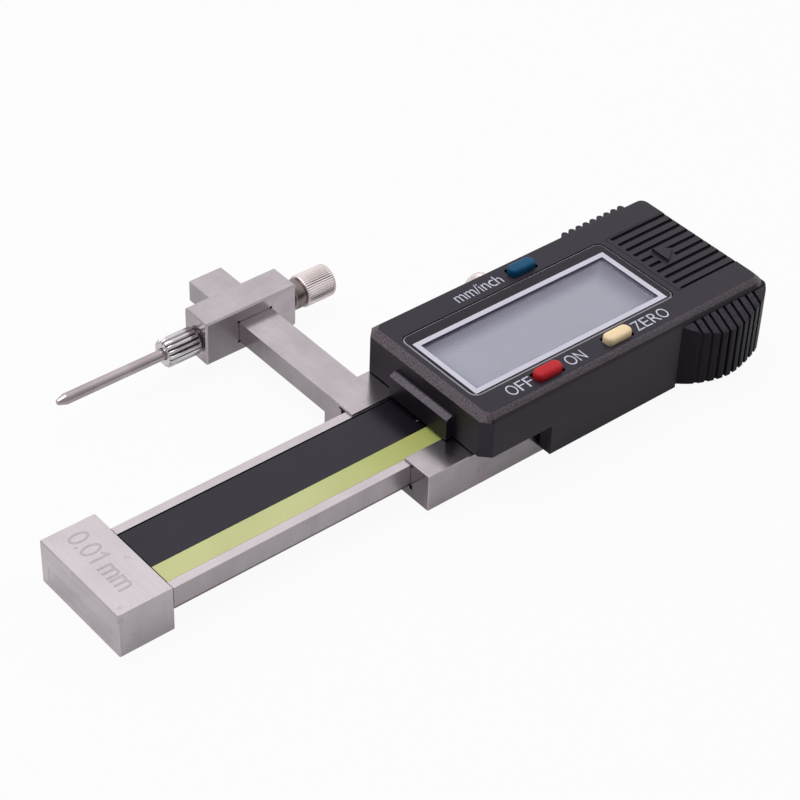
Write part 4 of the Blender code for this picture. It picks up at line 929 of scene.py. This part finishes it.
# Each letter's advance, left edge, right edge, bottom and top, in thousandths of the type size.
typeTable = {
    "O": (778, 48, 731, -12, 728), "F": (611, 80, 583, 0, 716), "N": (722, 76, 646, 0, 716),
    "Z": (611, 20, 588, 0, 716), "E": (667, 79, 616, 0, 716), "R": (722, 79, 714, 0, 716),
    "m": (833, 66, 768, 0, 531), "/": (278, -2, 280, -12, 728), "i": (222, 66, 154, 0, 716),
    "n": (556, 66, 488, 0, 531), "c": (500, 39, 482, -12, 531), "h": (556, 66, 489, 0, 716),
}
lettering = {"scale": (0.00000264, 0.0000032), "sink": 0.00001, "thickness": 0.00003, "weight": -0.008}
wordPlaces = {
    "letters_off": ("OFF", 0.0700, -0.0126), "letters_on": ("ON", 0.08223, -0.0126),
    "letters_zero": ("ZERO", 0.09674, -0.0126), "letters_units": ("mm/inch", 0.0788, 0.01017),
}


def addLetter(form, letter, boxLow, boxHigh, height):
    # One letter set flat, made a mesh, fitted to its place and given a thickness.
    font = bpy.data.curves.new(letter, "FONT")
    font.body = letter
    font.size = 1
    font.resolution_u = 8
    font.offset = lettering["weight"]
    holder = bpy.data.objects.new(letter, font)
    scene.collection.objects.link(holder)
    bpy.context.view_layer.update()
    flat = bpy.data.meshes.new_from_object(holder.evaluated_get(bpy.context.evaluated_depsgraph_get()))
    bpy.data.objects.remove(holder)
    part = bmesh.new()
    part.from_mesh(flat)
    bpy.data.meshes.remove(flat)
    bmesh.ops.remove_doubles(part, verts=part.verts, dist=0.0005)
    thicken(part, part.faces[:], 1)
    spans = [[vert.co[axis] for vert in part.verts] for axis in (0, 1)]
    spans = [(min(span), max(span)) for span in spans]
    for vert in part.verts:
        for axis, (low, high) in enumerate(spans):
            share = (vert.co[axis] - low) / (high - low)
            vert.co[axis] = boxLow[axis] + share * (boxHigh[axis] - boxLow[axis])
        vert.co.z = height + lettering["thickness"] * vert.co.z
    addPart(form, part)


def wordForm(words, left, baseline, height):
    form = bmesh.new()
    wide, tall = lettering["scale"]
    pen = left - typeTable[words[0]][1] * wide
    for letter in words:
        advance, start, end, bottom, top = typeTable[letter]
        boxLow = (pen + start * wide, baseline + bottom * tall)
        boxHigh = (pen + end * wide, baseline + top * tall)
        addLetter(form, letter, boxLow, boxHigh, height)
        pen += advance * wide
    return form


for pieceName, (words, left, baseline) in wordPlaces.items():
    form = wordForm(words, left, baseline, housingShape["top"] - lettering["sink"])
    finishPiece(pieceName, form, "whiteInk", "slider_body")


def pointFrom(centre, degrees, wide, tall):
    angle = math.radians(degrees)
    return (centre[0] + wide * math.cos(angle), centre[1] + tall * math.sin(angle))


def arc(centre, radii, start, end, steps):
    return [pointFrom(centre, start + (end - start) * step / steps, *radii) for step in range(steps + 1)]


# Single cutter strokes on a height of one: the width of each sign and its lines.
cutterSigns = {
    "0": (0.56, [arc((0.28, 0.5), (0.28, 0.5), 90, 450, 40)]),
    ".": (0.02, [[(0.0, 0.0), (0.02, 0.0)]]),
    "1": (0.24, [[(0.0, 0.78), (0.12, 0.86), (0.24, 1.0)], [(0.24, 1.0), (0.24, 0.0)]]),
    "m": (0.76, [
        [(0.0, 0.0), (0.0, 0.7)], [(0.0, 0.42)] + arc((0.19, 0.5), (0.19, 0.2), 180, 0, 12) + [(0.38, 0.0)],
        [(0.38, 0.42)] + arc((0.57, 0.5), (0.19, 0.2), 180, 0, 12) + [(0.76, 0.0)],
    ]),
    " ": (0.16, []),
}
engraving = {
    "words": "0.01 mm", "start": (0.00325, 0.0101), "size": 0.00315, "spacing": 0.22, "thickness": 0.000006,
    "step": 0.0000005, "sink": 0.00002,
    # The wider, darker strip is the cut's walls in painted shade; the narrower, lighter one on top is the cut's
    # floor.
    "layers": (
        ("foot_engraving", "engravedSteel", 0.00040), ("foot_engraving_floor", "engravedFloor", 0.00020),
    ),
}


def addRibbon(form, points, width, low, high):
    # A flat strip along a line, with round ends unless the line closes on itself.
    closed = math.dist(points[0], points[-1]) < width / 100
    if closed:
        points = points[:-1]
    count = len(points)
    ways = []
    for number, point in enumerate(points):
        before = points[number - 1] if closed or number else point
        after = points[(number + 1) % count] if closed or number + 1 < count else point
        ways.append(math.degrees(math.atan2(after[1] - before[1], after[0] - before[0])))

    def aside(number, turn):
        # The point half a width away from the line, turned from the line's own way.
        return pointFrom(points[number], ways[number] + turn, width / 2, width / 2)

    left, right = ([aside(number, turn) for number in range(count)] for turn in (90, -90))
    part = bmesh.new()
    if closed:
        left, right = ([part.verts.new((*place, low)) for place in side] for side in (left, right))
        steps = [(number, (number + 1) % count) for number in range(count)]
        flat = [part.faces.new((left[here], left[there], right[there], right[here])) for here, there in steps]
    else:
        endCap, startCap = (
            [aside(number, turn - 180 * step / 8) for step in range(1, 8)]
            for number, turn in ((count - 1, 90), (0, 270))
        )
        outline = left + endCap + right[::-1] + startCap
        flat = [part.faces.new([part.verts.new((*place, low)) for place in outline])]
    thicken(part, flat, high - low)
    bmesh.ops.triangulate(part, faces=[face for face in part.faces if len(face.verts) > 4])
    addPart(form, part)


def engravedForm(width, top):
    # Signs run along -Y and stand up along +X; each line lies a hair higher than the one before.
    form = bmesh.new()
    size = engraving["size"]
    base, pen = engraving["start"]
    level = top
    for sign in engraving["words"]:
        span, lines = cutterSigns[sign]
        for line in lines:
            points = [(base + y * size, pen - x * size) for x, y in line]
            addRibbon(form, points, width, top - engraving["sink"], level)
            level += engraving["step"]
        pen -= (span + engraving["spacing"]) * size
    return form


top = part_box("foot_block")[1].z
for layer, (pieceName, finishName, width) in enumerate(engraving["layers"], 1):
    form = engravedForm(width, top + layer * engraving["thickness"])
    finishPiece(pieceName, form, finishName, "beam_body")
print("lettering made")


# Thumb screws and the probe's collar

# The head starts with rings of a rise, an inset and a share of the knurl.
screwShape = {
    "headLength": 0.00608, "headRadius": 0.00285, "endRound": 0.0007, "endGap": 0.0012, "knurlDepth": 0.00011,
    "teeth": 46, "cuts": 4, "shoulderRadius": 0.00256, "grooveLength": 0.00018, "grooveRadius": 0.00225,
    "neckRadius": 0.0017, "shankRadius": 0.00145, "overlap": 0.0001, "rimBevel": 0.00008, "neckBevel": 0.00012,
    "tipBevel": 0.0003, "knurlStart": 0.0003,
    "headStart": ((0, 0.00045, 0), (0, 0.00012, 0), (0.0001, 0.00002, 0.6), (0.0002, 0, 1)),
}


def knurlWave(share):
    return abs(share - 0.5) * 2


def makeThumbScrew(nodeName, axis, body, finishName, shankLength, shoulderLength):
    shape = screwShape
    low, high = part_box(nodeName)
    along = "XYZ".index(axis)
    length = high[along] - low[along]
    start = length - shape["headLength"]
    neck = start - shoulderLength
    rim = start - shape["grooveLength"]
    origin = (low + high) / 2
    origin[along] = low[along]
    overlap, shoulder, shank = shape["overlap"], shape["shoulderRadius"], shape["shankRadius"]
    stem = turnedForm((
        (0, start + overlap), (shape["grooveRadius"], start + overlap), (shape["grooveRadius"], rim),
        (shoulder - shape["rimBevel"], rim), (shoulder, rim - shape["rimBevel"]),
        (shoulder, neck + shape["neckBevel"]), (shoulder - shape["neckBevel"], neck),
        (shape["neckRadius"], neck), (shape["neckRadius"], shankLength + overlap), (shank, shankLength),
        (shank, shape["tipBevel"]), (shank - shape["tipBevel"], 0), (0, 0),
    ))
    layAlong(stem, axis, origin)
    radius, depth, rounding = shape["headRadius"], shape["knurlDepth"], shape["endRound"]
    levels = [(start + rise, radius - inset, depth * share) for rise, inset, share in shape["headStart"]]
    straight = shape["headLength"] - shape["endGap"]
    levels += [(start + shape["knurlStart"] + straight * step / 4, radius, depth) for step in range(1, 5)]
    for step in range(1, 7):
        angle = math.pi / 2 * step / 6
        height = length - rounding * (1 - math.sin(angle))
        levels.append((height, radius - rounding * (1 - math.cos(angle)), depth * max(0, 1 - step / 4)))
    head = ribbedForm(levels, shape["teeth"], shape["cuts"], knurlWave)
    layAlong(head, axis, origin)
    addPart(stem, head)
    finishPiece(nodeName + "_turned", stem, finishName, body, [nodeName], "nickel", 50)


makeThumbScrew("clamp_screw", "X", "clamp_screw_body", "clampNickel", 0.0045, 0.0022)
makeThumbScrew("lock_screw", "Y", "lock_screw_body", "lockNickel", 0.0044, 0.0012)

# The front has rings of a height, an inset and a share of the flutes.
collarShape = {
    "length": 0.00664, "radius": 0.00243, "depth": 0.00044, "teeth": 16, "cuts": 10, "bore": 0.00099,
    "boreDepth": 0.0030, "bevel": 0.0002, "stemRadius": 0.00125, "stemBevel": 0.00008, "overlap": 0.0001,
    "undercutLength": 0.00035, "undercutRadius": 0.0019, "undercutInset": 0.0003,
    "front": ((0, 0.00056, 0), (0.00012, 0.00022, 0.6), (0.00034, 0, 1)),
}


def fluteWave(share):
    # Round valleys between flat lands.
    place = abs(share - 0.5) * 2
    return 0.0 if place < 0.5 else math.sin((place - 0.5) / 0.5 * math.pi / 2)


def makeCollar():
    shape = collarShape
    low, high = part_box("probe_holder")
    origin = (low + high) / 2
    origin.x = low.x
    length, whole = shape["length"], high.x - low.x
    end, undercut = length - shape["undercutLength"], shape["undercutRadius"]
    stem = turnedForm((
        (0, whole), (shape["stemRadius"], whole), (shape["stemRadius"], length),
        (undercut, length - shape["stemBevel"]), (undercut, end - shape["overlap"]),
        (0, end - shape["overlap"]),
    ))
    layAlong(stem, "X", origin)
    radius, depth, bore, bevel = shape["radius"], shape["depth"], shape["bore"], shape["bevel"]
    levels = [(shape["boreDepth"], bore, 0), (bevel, bore, 0), (0, bore + bevel, 0)]
    levels += [(height, radius - inset, depth * share) for height, inset, share in shape["front"]]
    levels += [(height, radius, depth) for height in (end * 0.35, end * 0.7, end - bevel)]
    levels += [(end, radius - bevel, depth * 0.6), (end, undercut - shape["undercutInset"], 0)]
    ribs = ribbedForm(levels, shape["teeth"], shape["cuts"], fluteWave)
    layAlong(ribs, "X", origin)
    addPart(stem, ribs)
    finishPiece("probe_collar", stem, "brightChrome", "probe_body", ["probe_holder"], "nickel", 50)


makeCollar()
print("screws and collar made")


# Floor, light and camera

stageLook = {
    "paper": ((0.62, 0.62, 0.63), (0.65, 0.65, 0.66)), "paperScale": (40, 40, 40), "size": 3.0, "gap": 0.00003,
    "cameraShare": 0.94, "glossyShare": 0.32,
}


def seenShare(tree):
    # How much of the plain white a ray meets: all of it for the eye and through clear parts, and some in
    # reflections.
    rays = addNode(tree, "ShaderNodeLightPath").outputs
    eye = maths(tree, "MAXIMUM", rays["Is Camera Ray"], rays["Is Transmission Ray"])
    return maths(tree, "MAXIMUM", eye, times(tree, rays["Is Glossy Ray"], stageLook["glossyShare"]))


def makeFloor():
    # Lies under the foot's base and the slider's, so it slopes a little.
    low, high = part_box("foot_block")
    sliderLow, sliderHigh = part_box("slider_frame")
    tilt = math.atan2(sliderLow.z - low.z, sliderHigh.x - low.x)
    form = bmesh.new()
    bmesh.ops.create_grid(form, x_segments=1, y_segments=1, size=stageLook["size"])
    bmesh.ops.rotate(form, verts=form.verts, cent=(0, 0, 0), matrix=Matrix.Rotation(-tilt, 3, "Y"))
    bmesh.ops.translate(form, verts=form.verts, vec=(low.x, 0, low.z - stageLook["gap"]))
    mesh = bpy.data.meshes.new("floor")
    form.to_mesh(mesh)
    form.free()
    floor = bpy.data.objects.new("floor", mesh)
    scene.collection.objects.link(floor)
    material, tree, shader = newMaterial("paleFloor", Metallic=0.0, Roughness=0.9, Specular_IOR_Level=0.1)
    paper = stretchedNoise(tree, stageLook["paperScale"], 3.0, 0.55)
    join(tree, blendColours(tree, paper, *stageLook["paper"]), shader.inputs["Base Color"])
    white = addNode(tree, "ShaderNodeEmission", None, {"Color": (1, 1, 1, 1), "Strength": 1.0})
    surface = mixShaders(tree, times(tree, seenShare(tree), stageLook["cameraShare"]), shader, white)
    tree.links.new(surface.outputs[0], tree.nodes["Material Output"].inputs["Surface"])
    mesh.materials.append(material)


skyLook = {"toward": (0.60, 0.62, 0.50), "low": 0.24, "high": 0.98, "from": -0.15, "to": 0.80}


def makeWorld():
    # White to the eye; as light, a bright wall behind the object on the right, which fades to the front and
    # left.
    world = bpy.data.worlds.new("softStudio")
    scene.world = world
    world.use_nodes = True
    tree = world.node_tree
    tree.nodes.clear()
    inputs = {0: coordinates(tree, "Generated"), 1: skyLook["toward"]}
    way = addNode(tree, "ShaderNodeVectorMath", {"operation": "DOT_PRODUCT"}, inputs).outputs["Value"]
    wall = spread(tree, way, skyLook["from"], skyLook["to"], skyLook["low"], skyLook["high"], smooth=True)
    light = addNode(tree, "ShaderNodeBackground", None, {"Color": (1, 0.99, 1.0, 1), "Strength": wall})
    white = addNode(tree, "ShaderNodeBackground", None, {"Color": (1, 1, 1, 1), "Strength": 1.0})
    surface = mixShaders(tree, seenShare(tree), light, white)
    addNode(tree, "ShaderNodeOutputWorld", None, {"Surface": surface.outputs[0]})


lampLook = {
    "place": (-0.05, 0.16, 0.63), "aim": (0.06, 0.01, 0.0), "size": 0.40, "power": 2.0,
    "colour": (1.0, 0.99, 0.99),
}


def makeLamp():
    light = bpy.data.lights.new("overheadSoftbox", "AREA")
    light.shape = "SQUARE"
    light.size = lampLook["size"]
    light.energy = lampLook["power"]
    light.color = lampLook["colour"]
    lamp = bpy.data.objects.new("overheadSoftbox", light)
    scene.collection.objects.link(lamp)
    lamp.location = lampLook["place"]
    lamp.rotation_euler = (Vector(lampLook["aim"]) - lamp.location).to_track_quat("-Z", "Y").to_euler()


cameraLook = {
    "place": (-0.13248, -0.22133, 0.248715), "turn": (50.462186, -1.666122, -39.371467), "lens": 110.421,
    "sensor": 36, "near": 0.01, "far": 20,
}


def makeCamera():
    camera = bpy.data.cameras.new("photoView")
    camera.lens = cameraLook["lens"]
    camera.sensor_width = cameraLook["sensor"]
    camera.clip_start = cameraLook["near"]
    camera.clip_end = cameraLook["far"]
    eye = bpy.data.objects.new("photoView", camera)
    scene.collection.objects.link(eye)
    eye.location = cameraLook["place"]
    eye.rotation_euler = [math.radians(angle) for angle in cameraLook["turn"]]
    scene.camera = eye


makeFloor()
makeWorld()
makeLamp()
makeCamera()
scene.view_settings.view_transform = "Standard"
print("stage made")
